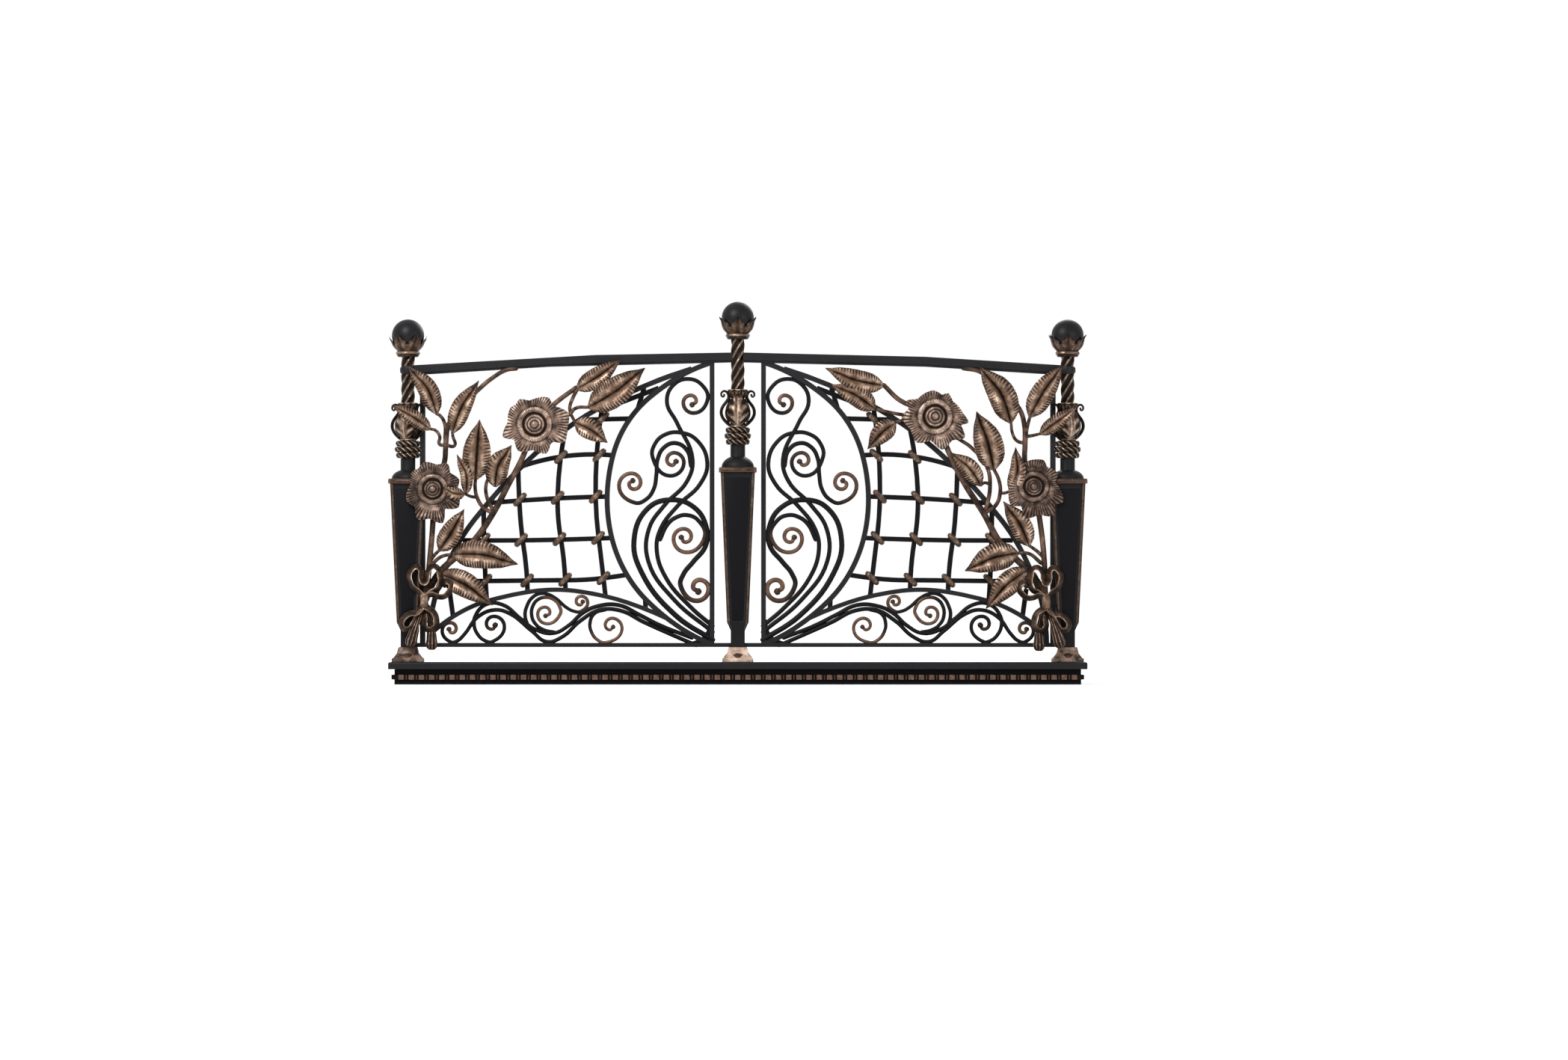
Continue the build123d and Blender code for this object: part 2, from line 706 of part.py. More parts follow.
# Each flower: centre inward and up, radius, how far it stands in front, petals and first petal's angle
flower_places = {
    "left": ((424, 866, 106, 38, 6, 15), (86, 650, 92, 68, 5, -2)),
    "right": ((444, 892, 106, 38, 6, 5), (116, 658, 92, 68, 5, 8)),
}
bow_places = {"left": (57, 279), "right": (74, 275)}
petal_thickness = 3
petal_reach = 0.64
petal_roundness = 0.36
flower_stalk = 18
bow_front_gap = 48
ribbon_width = 20
ribbon_thickness = 3.5
knot_width = 24
knot_height = 34
bow_lines = (
    ((0, 8), (-10, 60), (-52, 92), (-62, 70), (-22, 20), (0, 6)),
    ((0, 8), (30, 40), (42, 84), (26, 108), (10, 84), (0, 12)),
    ((0, -6), (-40, -36), (-88, -84), (-70, -96), (-24, -50), (0, -10)),
    ((0, -6), (26, -20), (38, -60), (20, -88), (2, -60), (0, -14)),
    ((6, 0), (40, 4), (75, 50)),
)


def build_leaf(base, tip, width):
    """A leaf folded along its midrib, lofted through chevron sections."""
    along = tip - base
    x_dir = along.normalized()
    front = Vector(0, -1, 0)
    across = front.cross(x_dir).normalized()
    with BuildPart(mode=Mode.PRIVATE) as leaf:
        for share, spread in ((0, 0.12), (0.2, 0.82), (0.42, 1), (0.7, 0.62), (1, 0.04)):
            half = width * spread / 2
            rise = half * leaf_fold
            section = Plane(origin=base + along * share, x_dir=across, z_dir=x_dir)
            with BuildSketch(section):
                Polygon(
                    (-half, rise), (0, 0), (half, rise),
                    (half, rise + leaf_thickness), (0, leaf_thickness), (-half, rise + leaf_thickness),
                    align=None,
                )
        loft(ruled=True)
    return leaf.part


def build_flower(x, z, radius, stand, petals, first_angle):
    """A dished, lobed flower with a ring and a stepped boss, on a stalk from the stem."""
    dish = radius * 0.2
    ring_radius = radius * 0.42
    face = Plane((x, -stand, z), x_dir=(1, 0, 0), z_dir=(0, -1, 0))
    profile = Plane((x, -stand, z), x_dir=(1, 0, 0), z_dir=(0, 0, 1))
    with BuildPart(mode=Mode.PRIVATE) as flower:
        with BuildSketch(profile):
            with BuildLine(Plane.XY):
                Polyline((0, 0), (radius * 0.5, 0), (radius * 1.02, -dish))
                Line((radius * 1.02, -dish), (radius * 1.02, -dish - petal_thickness))
                Polyline(
                    (radius * 1.02, -dish - petal_thickness),
                    (radius * 0.5, -petal_thickness),
                    (ring_radius + 6, -petal_thickness),
                    (ring_radius + 4, -petal_thickness - 8),
                    (ring_radius - 4, -petal_thickness - 8),
                    (ring_radius - 6, -petal_thickness),
                    (radius * 0.25, -petal_thickness),
                    (radius * 0.22, -petal_thickness - 8),
                    (radius * 0.12, -petal_thickness - 10),
                    (radius * 0.1, -petal_thickness - 16),
                    (0, -petal_thickness - 18),
                    (0, 0),
                )
            make_face()
        revolve(axis=Axis((x, 0, z), (0, 1, 0)))
        with BuildSketch(face):
            Circle(radius * 0.8)
            with PolarLocations(radius * petal_reach, petals, start_angle=first_angle):
                Circle(radius * petal_roundness)
        extrude(amount=2 * radius, both=True, mode=Mode.INTERSECT)
        with BuildSketch(face):
            Circle(flower_stalk / 2)
        extrude(amount=-(stand + stem_front))
    return flower.part


for side_name, side in sides:
    with BuildPart() as branches:
        for line in stem_lines[side_name]:
            with BuildSketch(Plane.XZ.offset(-panel_front)):
                stroke([from_post(side, *point) for point in line], stem_bar)
            extrude(amount=stem_bar)
        for line in twig_lines[side_name]:
            with BuildSketch(Plane.XZ.offset(-panel_front)):
                stroke([from_post(side, *point) for point in line], twig_bar)
            extrude(amount=twig_bar)
        for piece in (handrail, *shafts):
            add(piece.part, mode=Mode.SUBTRACT)
    save(branches, f"{side_name}_branches")

    with BuildPart() as leaves:
        for base_in, base_up, tip_in, tip_up, width, stand in leaf_places[side_name]:
            base_x, base_z = from_post(side, base_in, base_up)
            tip_x, tip_z = from_post(side, tip_in, tip_up)
            base = Vector(base_x, stem_y, base_z)
            tip = Vector(tip_x, stem_y - stand, tip_z)
            add(build_leaf(base, tip, width))
        add(branches.part, mode=Mode.SUBTRACT)
    save(leaves, f"{side_name}_leaves")

    with BuildPart() as flowers:
        for centre_in, centre_up, radius, stand, petals, first_angle in flower_places[side_name]:
            x, z = from_post(side, centre_in, centre_up)
            add(build_flower(x, z, radius, stand, petals, first_angle))
    save(flowers, f"{side_name}_flowers")

    knot_x, knot_z = from_post(side, *bow_places[side_name])
    with BuildPart() as bow:
        with BuildSketch(Plane.XZ.offset(bow_front_gap)):
            for line in bow_lines:
                stroke([(knot_x - side * across, knot_z + up) for across, up in line], ribbon_thickness)
        extrude(amount=ribbon_width)
        with BuildSketch(Plane.XZ.offset(-stem_front)):
            with Locations((knot_x, knot_z)):
                RectangleRounded(knot_width, knot_height, 8)
        extrude(amount=bow_front_gap + ribbon_width + 4 + stem_front)
    save(bow, f"{side_name}_bow")

    with BuildPart() as net_wraps:
        for across, up in net_crossings:
            with BuildSketch(Plane.XZ.offset(-wrap_depth / 2)):
                with Locations(at(side, across, up)):
                    SlotOverall(wrap_length, wrap_width, rotation=-side * wrap_slant)
            extrude(amount=wrap_depth)
        for piece_name in ("net", "round_arch", "outer_arch", "lower_arch", "band_scrolls"):
            add(infill[side_name, piece_name].part, mode=Mode.SUBTRACT)
        add(branches.part, mode=Mode.SUBTRACT)
    save(net_wraps, f"{side_name}_net_wraps")
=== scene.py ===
# %% [markdown]
# # A wrought iron balcony railing
# The railing is forged from bars: black satin paint on the frame, and bronze paste rubbed over the
# leaves, flowers, castings and scroll ends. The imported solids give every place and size. They could
# be shown as they are, but solids have no hammer marks, so most of them get a forged piece on top.

# %% Load the solids as a fixed frame
from math import atan2, cos, degrees, pi, radians, sin

import bmesh
import bpy
from mathutils import Matrix, Vector


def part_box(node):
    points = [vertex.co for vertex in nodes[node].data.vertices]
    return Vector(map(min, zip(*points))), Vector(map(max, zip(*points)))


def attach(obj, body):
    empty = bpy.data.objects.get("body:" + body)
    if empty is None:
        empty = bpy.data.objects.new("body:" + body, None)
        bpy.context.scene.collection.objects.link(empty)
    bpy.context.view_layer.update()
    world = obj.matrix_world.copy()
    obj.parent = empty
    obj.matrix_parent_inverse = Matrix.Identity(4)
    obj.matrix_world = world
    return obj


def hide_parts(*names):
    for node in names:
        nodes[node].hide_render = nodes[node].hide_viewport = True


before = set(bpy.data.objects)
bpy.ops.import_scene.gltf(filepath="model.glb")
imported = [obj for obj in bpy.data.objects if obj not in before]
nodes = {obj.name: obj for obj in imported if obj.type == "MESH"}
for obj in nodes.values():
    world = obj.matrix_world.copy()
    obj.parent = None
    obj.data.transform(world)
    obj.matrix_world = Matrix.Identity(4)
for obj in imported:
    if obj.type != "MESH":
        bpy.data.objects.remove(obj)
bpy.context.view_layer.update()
MM = 0.001
FRONT = Vector((0, -1, 0))
UP = Vector((0, 0, 1))
SIDES = {"left": -1, "right": 1}
POSTS = ("left", "centre", "right")

# %% [markdown]
# ## Camera
# The photograph looks straight at the railing from far off, so that hardly any top or underside
# shows. A long lens far away does the same. Its height is low, and the small shift only frames.

# %% Straight-on camera with a long lens
photo_width = 2097
photo_height = 1417
metres_per_pixel = 0.0025
origin_pixel = (986.7, 914.8)
camera_distance = 20
camera_height = 0.3
view_width = photo_width * metres_per_pixel
camera_data = bpy.data.cameras.new("camera")
camera_data.sensor_width = 36
camera_data.lens = camera_data.sensor_width * camera_distance / view_width
camera_data.clip_end = 100
camera_data.shift_x = (photo_width / 2 - origin_pixel[0]) / photo_width
middle_height = (origin_pixel[1] - photo_height / 2) * metres_per_pixel
camera_data.shift_y = (middle_height - camera_height) / view_width
camera = bpy.data.objects.new("camera", camera_data)
camera.location = (0, -camera_distance, camera_height)
camera.rotation_euler = (radians(90), 0, 0)
bpy.context.scene.collection.objects.link(camera)
bpy.context.scene.camera = camera
print("lens", round(camera_data.lens, 1), "shift", camera_data.shift_x, camera_data.shift_y)

# %% [markdown]
# ## Light, floor and background
# A studio shot on white: a big soft lamp from the upper left, a weaker one from the right, and a pale
# world. The white comes from the world as the camera and the gloss see it, not from more light. The
# floor is lit like anything else near the railing, and fades to the same white farther off.

# %% Shader node helpers and the world
WHITE = (1, 1, 1, 1)


def set_inputs(tree, node, inputs):
    """Gives each input a value, or links it to another node's output."""
    for label, value in inputs.items():
        if isinstance(value, bpy.types.NodeSocket):
            tree.links.new(value, node.inputs[label])
        else:
            node.inputs[label].default_value = value


def add_node(tree, kind, inputs=None, **settings):
    node = tree.nodes.new(kind)
    for label, value in settings.items():
        setattr(node, label, value)
    set_inputs(tree, node, inputs or {})
    return node


def maths(tree, operation, first, second, **settings):
    """The result of one maths step on two values or sockets."""
    inputs = {0: first, 1: second}
    return add_node(tree, "ShaderNodeMath", inputs, operation=operation, **settings).outputs[0]


def seen_directly(tree):
    """A socket that is 1 for rays from the camera, a reflection or clear glass, else 0."""
    rays = add_node(tree, "ShaderNodeLightPath")
    found = rays.outputs["Is Camera Ray"]
    for kind in ("Is Glossy Ray", "Is Transmission Ray"):
        found = maths(tree, "MAXIMUM", found, rays.outputs[kind])
    return found


world = bpy.data.worlds.new("studio")
bpy.context.scene.world = world
world.use_nodes = True
sky = world.node_tree
ambient_level = 0.35
sky_level = add_node(sky, "ShaderNodeMapRange", {"Value": seen_directly(sky), "To Min": ambient_level})
set_inputs(sky, sky.nodes["Background"], {"Color": WHITE, "Strength": sky_level.outputs["Result"]})
print("the world lights at", ambient_level, "and is seen at 1")

# %% Lamps


def lamp(name, place, aim, size, power):
    data = bpy.data.lights.new(name, "AREA")
    data.size = size
    data.energy = power
    holder = bpy.data.objects.new(name, data)
    holder.location = place
    holder.rotation_euler = (Vector(aim) - Vector(place)).to_track_quat("-Z", "Y").to_euler()
    bpy.context.scene.collection.objects.link(holder)


lamp("key", (-2.2, -3.2, 3.6), (0, 0, 0.6), 1.4, 200)
lamp("fill", (3.2, -3.4, 1.6), (0, 0, 0.6), 2.4, 50)
lamp("rear", (1.0, 3.0, 2.8), (0, 0, 0.7), 2.0, 50)
print("lamps:", len(bpy.data.lights))

# %% Floor
floor_reach = 40
floor_mesh = bpy.data.meshes.new("floor")
floor_bm = bmesh.new()
bmesh.ops.create_grid(floor_bm, x_segments=1, y_segments=1, size=floor_reach)
floor_bm.to_mesh(floor_mesh)
floor_bm.free()
floor = bpy.data.objects.new("floor", floor_mesh)
bpy.context.scene.collection.objects.link(floor)
floor_paint = bpy.data.materials.new("pale_floor")
floor_paint.use_nodes = True
floor_tree = floor_paint.node_tree
floor_place = add_node(floor_tree, "ShaderNodeTexCoord")
squeezed = add_node(floor_tree, "ShaderNodeVectorMath",
                    {0: floor_place.outputs["Object"], 1: (0.4, 1, 0)}, operation="MULTIPLY")
away = add_node(floor_tree, "ShaderNodeVectorMath", {0: squeezed.outputs["Vector"]}, operation="LENGTH")
glow = add_node(floor_tree, "ShaderNodeMapRange",
                {"Value": away.outputs["Value"], "From Min": 0.3, "From Max": 1.6, "To Min": 0.36},
                interpolation_type="SMOOTHSTEP")
seen_glow = maths(floor_tree, "MULTIPLY", glow.outputs["Result"], seen_directly(floor_tree))
set_inputs(floor_tree, floor_tree.nodes["Principled BSDF"], {
    "Base Color": (0.86, 0.86, 0.86, 1), "Roughness": 0.9, "Specular IOR Level": 0.1,
    "Emission Color": WHITE, "Emission Strength": seen_glow})
floor_mesh.materials.append(floor_paint)
bpy.context.scene.view_settings.view_transform = "Standard"
print("the floor reaches", floor_reach, "m each way")

# %% [markdown]
# ## Finishes
# Bronze paste is rubbed by hand over black: it catches on ribs and edges and misses the grooves. Each
# forged piece carries a number called rub, 0 in a groove and 1 on an edge. In a few places rub also
# carries painted light and shade: a painted highlight along the leaves' rounded halves and on the
# ribbons' front edges, and painted shade on the vases' side leaves and in the dentil gaps. One shader
# group turns it into three colours with blotches, and another gives hammer dents and fine grain.

# %% Shader group for the rubbed colour
FLOAT, COLOUR = "NodeSocketFloat", "NodeSocketColor"


def shader_group(name, inputs, outputs):
    tree = bpy.data.node_groups.new(name, "ShaderNodeTree")
    for label, kind, value in inputs:
        tree.interface.new_socket(label, in_out="INPUT", socket_type=kind).default_value = value
    for label, kind in outputs:
        tree.interface.new_socket(label, in_out="OUTPUT", socket_type=kind)
    return tree, tree.nodes.new("NodeGroupInput"), tree.nodes.new("NodeGroupOutput")


rubbed, group_in, group_out = shader_group(
    "rubbed_bronze",
    (("Rub", FLOAT, 0.5), ("Blotches", FLOAT, 60), ("Spread", FLOAT, 0.5), ("Dark", COLOUR, WHITE),
     ("Middle", COLOUR, WHITE), ("Bright", COLOUR, WHITE)),
    (("Color", COLOUR), ("Shine", FLOAT)),
)
place = add_node(rubbed, "ShaderNodeTexCoord")
blotches = add_node(rubbed, "ShaderNodeTexNoise", {
    "Vector": place.outputs["Object"], "Scale": group_in.outputs["Blotches"], "Detail": 5,
    "Roughness": 0.65})
centred = maths(rubbed, "SUBTRACT", blotches.outputs["Fac"], 0.5)
blotched = maths(rubbed, "MULTIPLY", centred, group_in.outputs["Spread"])
amount = maths(rubbed, "ADD", blotched, group_in.outputs["Rub"], use_clamp=True)
colour = group_in.outputs["Dark"]
for next_colour, begins, full in (("Middle", 0.1, 0.55), ("Bright", 0.45, 0.95)):
    share = add_node(rubbed, "ShaderNodeMapRange",
                     {"Value": amount, "From Min": begins, "From Max": full},
                     interpolation_type="SMOOTHSTEP")
    mix = add_node(rubbed, "ShaderNodeMix", {
        "Factor": share.outputs["Result"], "A": colour, "B": group_in.outputs[next_colour]},
        data_type="RGBA")
    colour = mix.outputs["Result"]
set_inputs(rubbed, group_out, {"Color": colour, "Shine": amount})
print("group", rubbed.name, "has", len(rubbed.nodes), "nodes")

# %% Shader group for the hammered surface
forged, group_in, group_out = shader_group(
    "forged_surface", (("Dents", FLOAT, 40), ("Dent depth", FLOAT, 0.5)), (("Height", FLOAT),))
grain_scale = 900
place = add_node(forged, "ShaderNodeTexCoord").outputs["Object"]
dents = add_node(forged, "ShaderNodeTexVoronoi", {
    "Vector": place, "Scale": group_in.outputs["Dents"], "Smoothness": 0.6}, feature="SMOOTH_F1")
dent_height = maths(forged, "MULTIPLY", dents.outputs["Distance"], group_in.outputs["Dent depth"])
grain = add_node(forged, "ShaderNodeTexNoise", {"Vector": place, "Scale": grain_scale, "Detail": 3})
grain_height = maths(forged, "MULTIPLY", grain.outputs["Fac"], 0.25)
set_inputs(forged, group_out, {"Height": maths(forged, "ADD", dent_height, grain_height)})
print("group", forged.name, "has", len(forged.nodes), "nodes")

# %% [markdown]
# A finish is then one material: the two groups feed a Principled shader, and only their own numbers
# differ. Black paint is the same recipe with no bronze colours in it, so that edges still vary.

# %% One finish


def finish(name, dark, middle, bright, rough, metal, blotches=60, spread=0.4, dents=45,
           dent_depth=0.5, bump=0.0006, gloss=0.1, default_rub=0.0):
    """A material. rough is a pair, for little and for much bronze, and metal is for much bronze."""
    paint = bpy.data.materials.new(name)
    paint.use_nodes = True
    tree = paint.node_tree
    rub = add_node(tree, "ShaderNodeAttribute", attribute_name="rub")
    colour = add_node(tree, "ShaderNodeGroup", {
        "Rub": maths(tree, "ADD", rub.outputs["Fac"], default_rub), "Dark": (*dark, 1),
        "Middle": (*middle, 1), "Bright": (*bright, 1), "Blotches": blotches, "Spread": spread},
        node_tree=rubbed)
    surface = add_node(tree, "ShaderNodeGroup", {"Dents": dents, "Dent depth": dent_depth},
                       node_tree=forged)
    shine = colour.outputs["Shine"]
    roughness = add_node(tree, "ShaderNodeMapRange", {
        "Value": shine, "To Min": rough[0], "To Max": rough[1]})
    metallic = add_node(tree, "ShaderNodeMapRange", {
        "Value": shine, "From Min": 0.1, "From Max": 0.6, "To Max": metal})
    relief = add_node(tree, "ShaderNodeBump", {"Height": surface.outputs["Height"], "Distance": bump})
    set_inputs(tree, tree.nodes["Principled BSDF"], {
        "Base Color": colour.outputs["Color"], "Roughness": roughness.outputs["Result"],
        "Metallic": metallic.outputs["Result"], "Specular IOR Level": gloss,
        "Normal": relief.outputs["Normal"]})
    return paint


print("a finish joins", len(bpy.data.node_groups), "groups")

# %% Finishes of the frame, the castings and the sprays
ink = (0.004, 0.004, 0.005)
umber = (0.009, 0.005, 0.003)
base_paint = finish("base_paint", ink, (0.005, 0.005, 0.006), (0.016, 0.016, 0.017), (0.65, 0.55), 0,
                    dent_depth=0.1, gloss=0.06, default_rub=0.3)
frame_paint = finish("frame_paint", ink, (0.012, 0.012, 0.014), (0.03, 0.03, 0.033), (0.5, 0.42), 0,
                     dent_depth=0.25, gloss=0.18, default_rub=0.3)
net_paint = finish("net_paint", ink, (0.004, 0.004, 0.005), (0.012, 0.011, 0.011), (0.55, 0.45), 0,
                   dent_depth=0.3, gloss=0.08, default_rub=0.3)
ball_paint = finish("ball_paint", ink, (0.007, 0.007, 0.008), (0.014, 0.013, 0.013), (0.46, 0.4), 0,
                    dents=60, dent_depth=0.1, bump=0.0003, gloss=0.16, default_rub=0.3)
scroll_paint = finish("scroll_paint", ink, (0.085, 0.046, 0.03), (0.34, 0.21, 0.14), (0.45, 0.38), 0.5,
                      spread=0.45, dents=70)
shaft_paint = finish("shaft_paint", (0.008, 0.008, 0.009), (0.1, 0.058, 0.04), (0.34, 0.21, 0.15),
                     (0.5, 0.42), 0.5, blotches=90, spread=0.35, dent_depth=0.1, gloss=0.12)
leaf_bronze = finish("leaf_bronze", (0.014, 0.008, 0.005), (0.175, 0.105, 0.07), (0.85, 0.67, 0.52),
                     (0.42, 0.32), 0.5, blotches=32, spread=1.15, dents=110, dent_depth=0.6,
                     bump=0.0009, gloss=0.14)
flower_bronze = finish("flower_bronze", (0.016, 0.009, 0.006), (0.22, 0.145, 0.11), (0.85, 0.68, 0.56),
                       (0.45, 0.36), 0.5, blotches=34, spread=1.3, dents=260, dent_depth=0.9,
                       gloss=0.14)
stem_bronze = finish("stem_bronze", umber, (0.11, 0.063, 0.044), (0.42, 0.28, 0.2), (0.5, 0.38), 0.5,
                     blotches=35, spread=1.1, dents=60, dent_depth=1.0, gloss=0.12)
casting_bronze = finish("casting_bronze", umber, (0.09, 0.056, 0.039), (0.62, 0.48, 0.37), (0.45, 0.34),
                        0.55, blotches=70, spread=0.7, dents=120, gloss=0.08)
rope_bronze = finish("rope_bronze", umber, (0.09, 0.058, 0.04), (0.55, 0.44, 0.35), (0.45, 0.34), 0.55,
                     blotches=90, spread=0.55, dents=140, gloss=0.08)
foot_bronze = finish("foot_bronze", umber, (0.33, 0.22, 0.165), (0.8, 0.62, 0.5), (0.5, 0.42), 0.4,
                     blotches=24, spread=1.3, dents=110, default_rub=0.5, gloss=0.2)
dentil_bronze = finish("dentil_bronze", (0.005, 0.003, 0.003), (0.1, 0.054, 0.038), (0.27, 0.165, 0.12),
                       (0.5, 0.42), 0.4, blotches=110, spread=0.6, default_rub=0.3, gloss=0.08)
print("finishes:", len(bpy.data.materials))

# %% [markdown]
# ## Helpers for forged pieces
# A smith draws a line, then bends a bar along it. Here a curve with automatic handles gives the smooth
# line, and a ring of corners is extruded from point to point along it. The ring may be lobed, and
# turned on the way, which makes twisted bars and rope from the same few steps.

# %% Smooth lines


def smooth_line(points, steps=6, closed=False):
    """Points of a smooth line through the given ones, in metres."""
    curve = bpy.data.curves.new("bend", "CURVE")
    curve.dimensions = "3D"
    curve.resolution_u = steps
    spline = curve.splines.new("BEZIER")
    spline.use_cyclic_u = closed
    spline.bezier_points.add(len(points) - 1)
    for knot, point in zip(spline.bezier_points, points):
        knot.co = point
        knot.handle_left_type = knot.handle_right_type = "AUTO"
    holder = bpy.data.objects.new("bend", curve)
    mesh = bpy.data.meshes.new_from_object(holder)
    line = [vertex.co.copy() for vertex in mesh.vertices]
    bpy.data.objects.remove(holder)
    bpy.data.curves.remove(curve)
    bpy.data.meshes.remove(mesh)
    return line


def headings(line, closed=False):
    """The way the line runs at each of its points."""
    last = len(line) - 1
    result = []
    for step in range(len(line)):
        before = line[step - 1] if step or closed else line[0]
        after = line[(step + 1) % len(line)] if step < last or closed else line[last]
        result.append((after - before).normalized())
    return result


print("a smooth line through 3 points has", len(smooth_line([(0, 0, 0), (1, 0, 1), (2, 0, 0)])))

# %% Rings that stand along a line
groove_rub = 1.1
# How far out the two rings that round a free end stand, and how small they are
cap_rings = ((0.5, 0.87), (0.87, 0.5))


def new_piece():
    """An empty mesh and its layer for rub."""
    bm = bmesh.new()
    return bm, bm.verts.layers.float.new("rub")


def standing(point, ahead, facing, turn, width, depth):
    """Places a flat ring at the point, square to the line, with its depth along facing."""
    out = (facing - ahead * facing.dot(ahead)).normalized()
    turned = Matrix((out.cross(ahead), out, ahead)).transposed().to_4x4()
    size = Matrix.Diagonal((width, depth, 1, 1))
    return Matrix.Translation(point) @ turned @ Matrix.Rotation(turn, 4, "Z") @ size


def ribbed_ring(bm, sides, lobes, lobe_depth):
    """A ring of corners with ribs, and how far down a groove each corner lies."""
    ring = bmesh.ops.create_circle(bm, cap_ends=False, segments=sides, radius=1)["verts"]
    hollow = [0.5 - 0.5 * cos(lobes * atan2(corner.co.y, corner.co.x)) for corner in ring]
    for corner, groove in zip(ring, hollow):
        corner.co *= 1 - lobe_depth * groove
    return ring, hollow


def ring_places(line, closed, width_at):
    """Where the rings of a bar stand. Two smaller rings round each free end."""
    ways = headings(line, closed)
    last = len(line) - 1
    places = [(point, way, step / last, 1) for step, (point, way) in enumerate(zip(line, ways))]
    if not closed:
        for start, way, share, sign in ((line[0], ways[0], 0, -1), (line[-1], ways[-1], 1, 1)):
            for reach, shrink in cap_rings:
                cap = (start + way * sign * reach * width_at(share), way, share, shrink)
                places.insert(0 if sign < 0 else len(places), cap)
    return places


print("a bar of 2 points stands on", len(ring_places([Vector(), UP], False, lambda share: 1)), "rings")

# %% Bars bent along a line


def forged_bar(line, width, depth=None, facing=FRONT, sides=10, lobes=0, lobe_depth=0.0, turns=0.0,
               closed=False, rub=0.0, lean=0.0):
    """A bar along a line. Width and depth are half sizes, and like rub they are numbers or functions
    of the share done. Lobes are ribs along the bar, turns is how often they go round it, and lean
    turns a flat bar about its line."""
    width_at = width if callable(width) else lambda share: width
    depth_at = depth if callable(depth) else (width_at if depth is None else lambda share: depth)
    rub_at = rub if callable(rub) else lambda share: rub
    bm, rubbing = new_piece()
    ring, hollow = ribbed_ring(bm, sides, lobes, lobe_depth)
    edges = first_edges = bm.edges[:]
    place = Matrix()
    for number, (point, way, share, shrink) in enumerate(ring_places(line, closed, width_at)):
        if number:
            grown = bmesh.ops.extrude_edge_only(bm, edges=edges)["geom"]
            ring = [item for item in grown if isinstance(item, bmesh.types.BMVert)]
            edges = [item for item in grown
                     if isinstance(item, bmesh.types.BMEdge) and len(item.link_faces) == 1]
        new_place = standing(point, way, facing, 2 * pi * turns * share + lean,
                             width_at(share) * shrink, depth_at(share) * shrink)
        bmesh.ops.transform(bm, matrix=new_place @ place.inverted(), verts=ring)
        place = new_place
        for corner, groove in zip(ring, hollow):
            corner[rubbing] = rub_at(share) - (groove_rub * groove if lobe_depth else 0)
    if closed:
        bmesh.ops.bridge_loops(bm, edges=first_edges + edges)
    else:
        bmesh.ops.contextual_create(bm, geom=first_edges)
        bmesh.ops.contextual_create(bm, geom=edges)
    return bm


sample = forged_bar([Vector(), UP], 0.01)
print("a straight bar has", len(sample.faces), "faces")
sample.free()

# %% Joining parts and showing a piece


def gathered(parts):
    """Joins several forged parts into one."""
    whole = new_piece()[0]
    for part in parts:
        mesh = bpy.data.meshes.new("part")
        part.to_mesh(mesh)
        part.free()
        whole.from_mesh(mesh)
        bpy.data.meshes.remove(mesh)
    return whole


def moved(bm, matrix):
    bmesh.ops.transform(bm, matrix=matrix, verts=bm.verts)
    return bm


def show(bm, name, slot, paint, *replaced, sharp=40):
    """Turns a bmesh into a finished piece that rides on the railing."""
    bmesh.ops.recalc_face_normals(bm, faces=bm.faces)
    mesh = bpy.data.meshes.new(name)
    bm.to_mesh(mesh)
    bm.free()
    mesh.shade_smooth()
    mesh.set_sharp_from_angle(angle=radians(sharp))
    mesh.materials.append(paint)
    piece = bpy.data.objects.new(name, mesh)
    bpy.context.scene.collection.objects.link(piece)
    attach(piece, "root")
    if replaced:
        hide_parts(*replaced)
    print(name, "faces", len(mesh.polygons))
    return piece


sample = gathered([forged_bar([Vector(), UP], 0.01) for bar in range(2)])
print("two joined bars have", len(sample.faces), "faces")
sample.free()

# %% [markdown]
# ## Flat bars and plates
# Rolled bar has slightly rounded edges that catch a thin line of light. A copy of each solid is merged
# back into whole faces, and a Bevel modifier rounds its edges, which keeps the solid's exact shape.
# The balls are round enough as they are, so only their paint changes.

# %% Rounded copies of the flat solids
weld = 0.02 * MM


def eased(node_names, name, slot, paint, width, rub=0.0):
    """A rounded copy of some solids, with the same rub all over."""
    bm, rubbing = new_piece()
    for node in node_names:
        bm.from_mesh(nodes[node].data)
    for corner in bm.verts:
        corner[rubbing] = rub
    bmesh.ops.remove_doubles(bm, verts=bm.verts, dist=weld)
    bmesh.ops.dissolve_limit(bm, angle_limit=radians(1.5), verts=bm.verts, edges=bm.edges)
    piece = show(bm, name, slot, paint, *node_names, sharp=30)
    rounding = piece.modifiers.new("rounding", "BEVEL")
    rounding.width = width
    rounding.segments = 2
    rounding.limit_method = "ANGLE"
    rounding.angle_limit = radians(30)
    return piece


eased(["base_beam"], "base_beam_eased", "base_paint", base_paint, 0.002)
eased(["base_top_plate"], "base_plate_eased", "base_paint", frame_paint, 0.0015)
eased(["handrail"], "handrail_eased", "frame_paint", frame_paint, 0.0025)
eased(["bottom_rail", "centre_stiles", "left_side_stile", "right_side_stile"], "rails_and_stiles",
      "frame_paint", frame_paint, 0.0012)
for side in SIDES:
    eased([f"{side}_round_arch", f"{side}_outer_arch", f"{side}_lower_arch"], f"{side}_arches",
          "bar_paint", frame_paint, 0.0022)
    eased([f"{side}_net"], f"{side}_net_bars", "bar_paint", net_paint, 0.0022)
for post in POSTS:
    nodes[f"{post}_post_ball"].data.materials.clear()
    nodes[f"{post}_post_ball"].data.materials.append(ball_paint)

# %% [markdown]
# ## Scrolls
# A scroll is a bar drawn thin towards its end and wound round a small knob. The stems stay black and the
# wound ends are rubbed with bronze. The lines repeat the drawing's points, because the solids hold
# only square bars, and a round bar that tapers needs its own line.

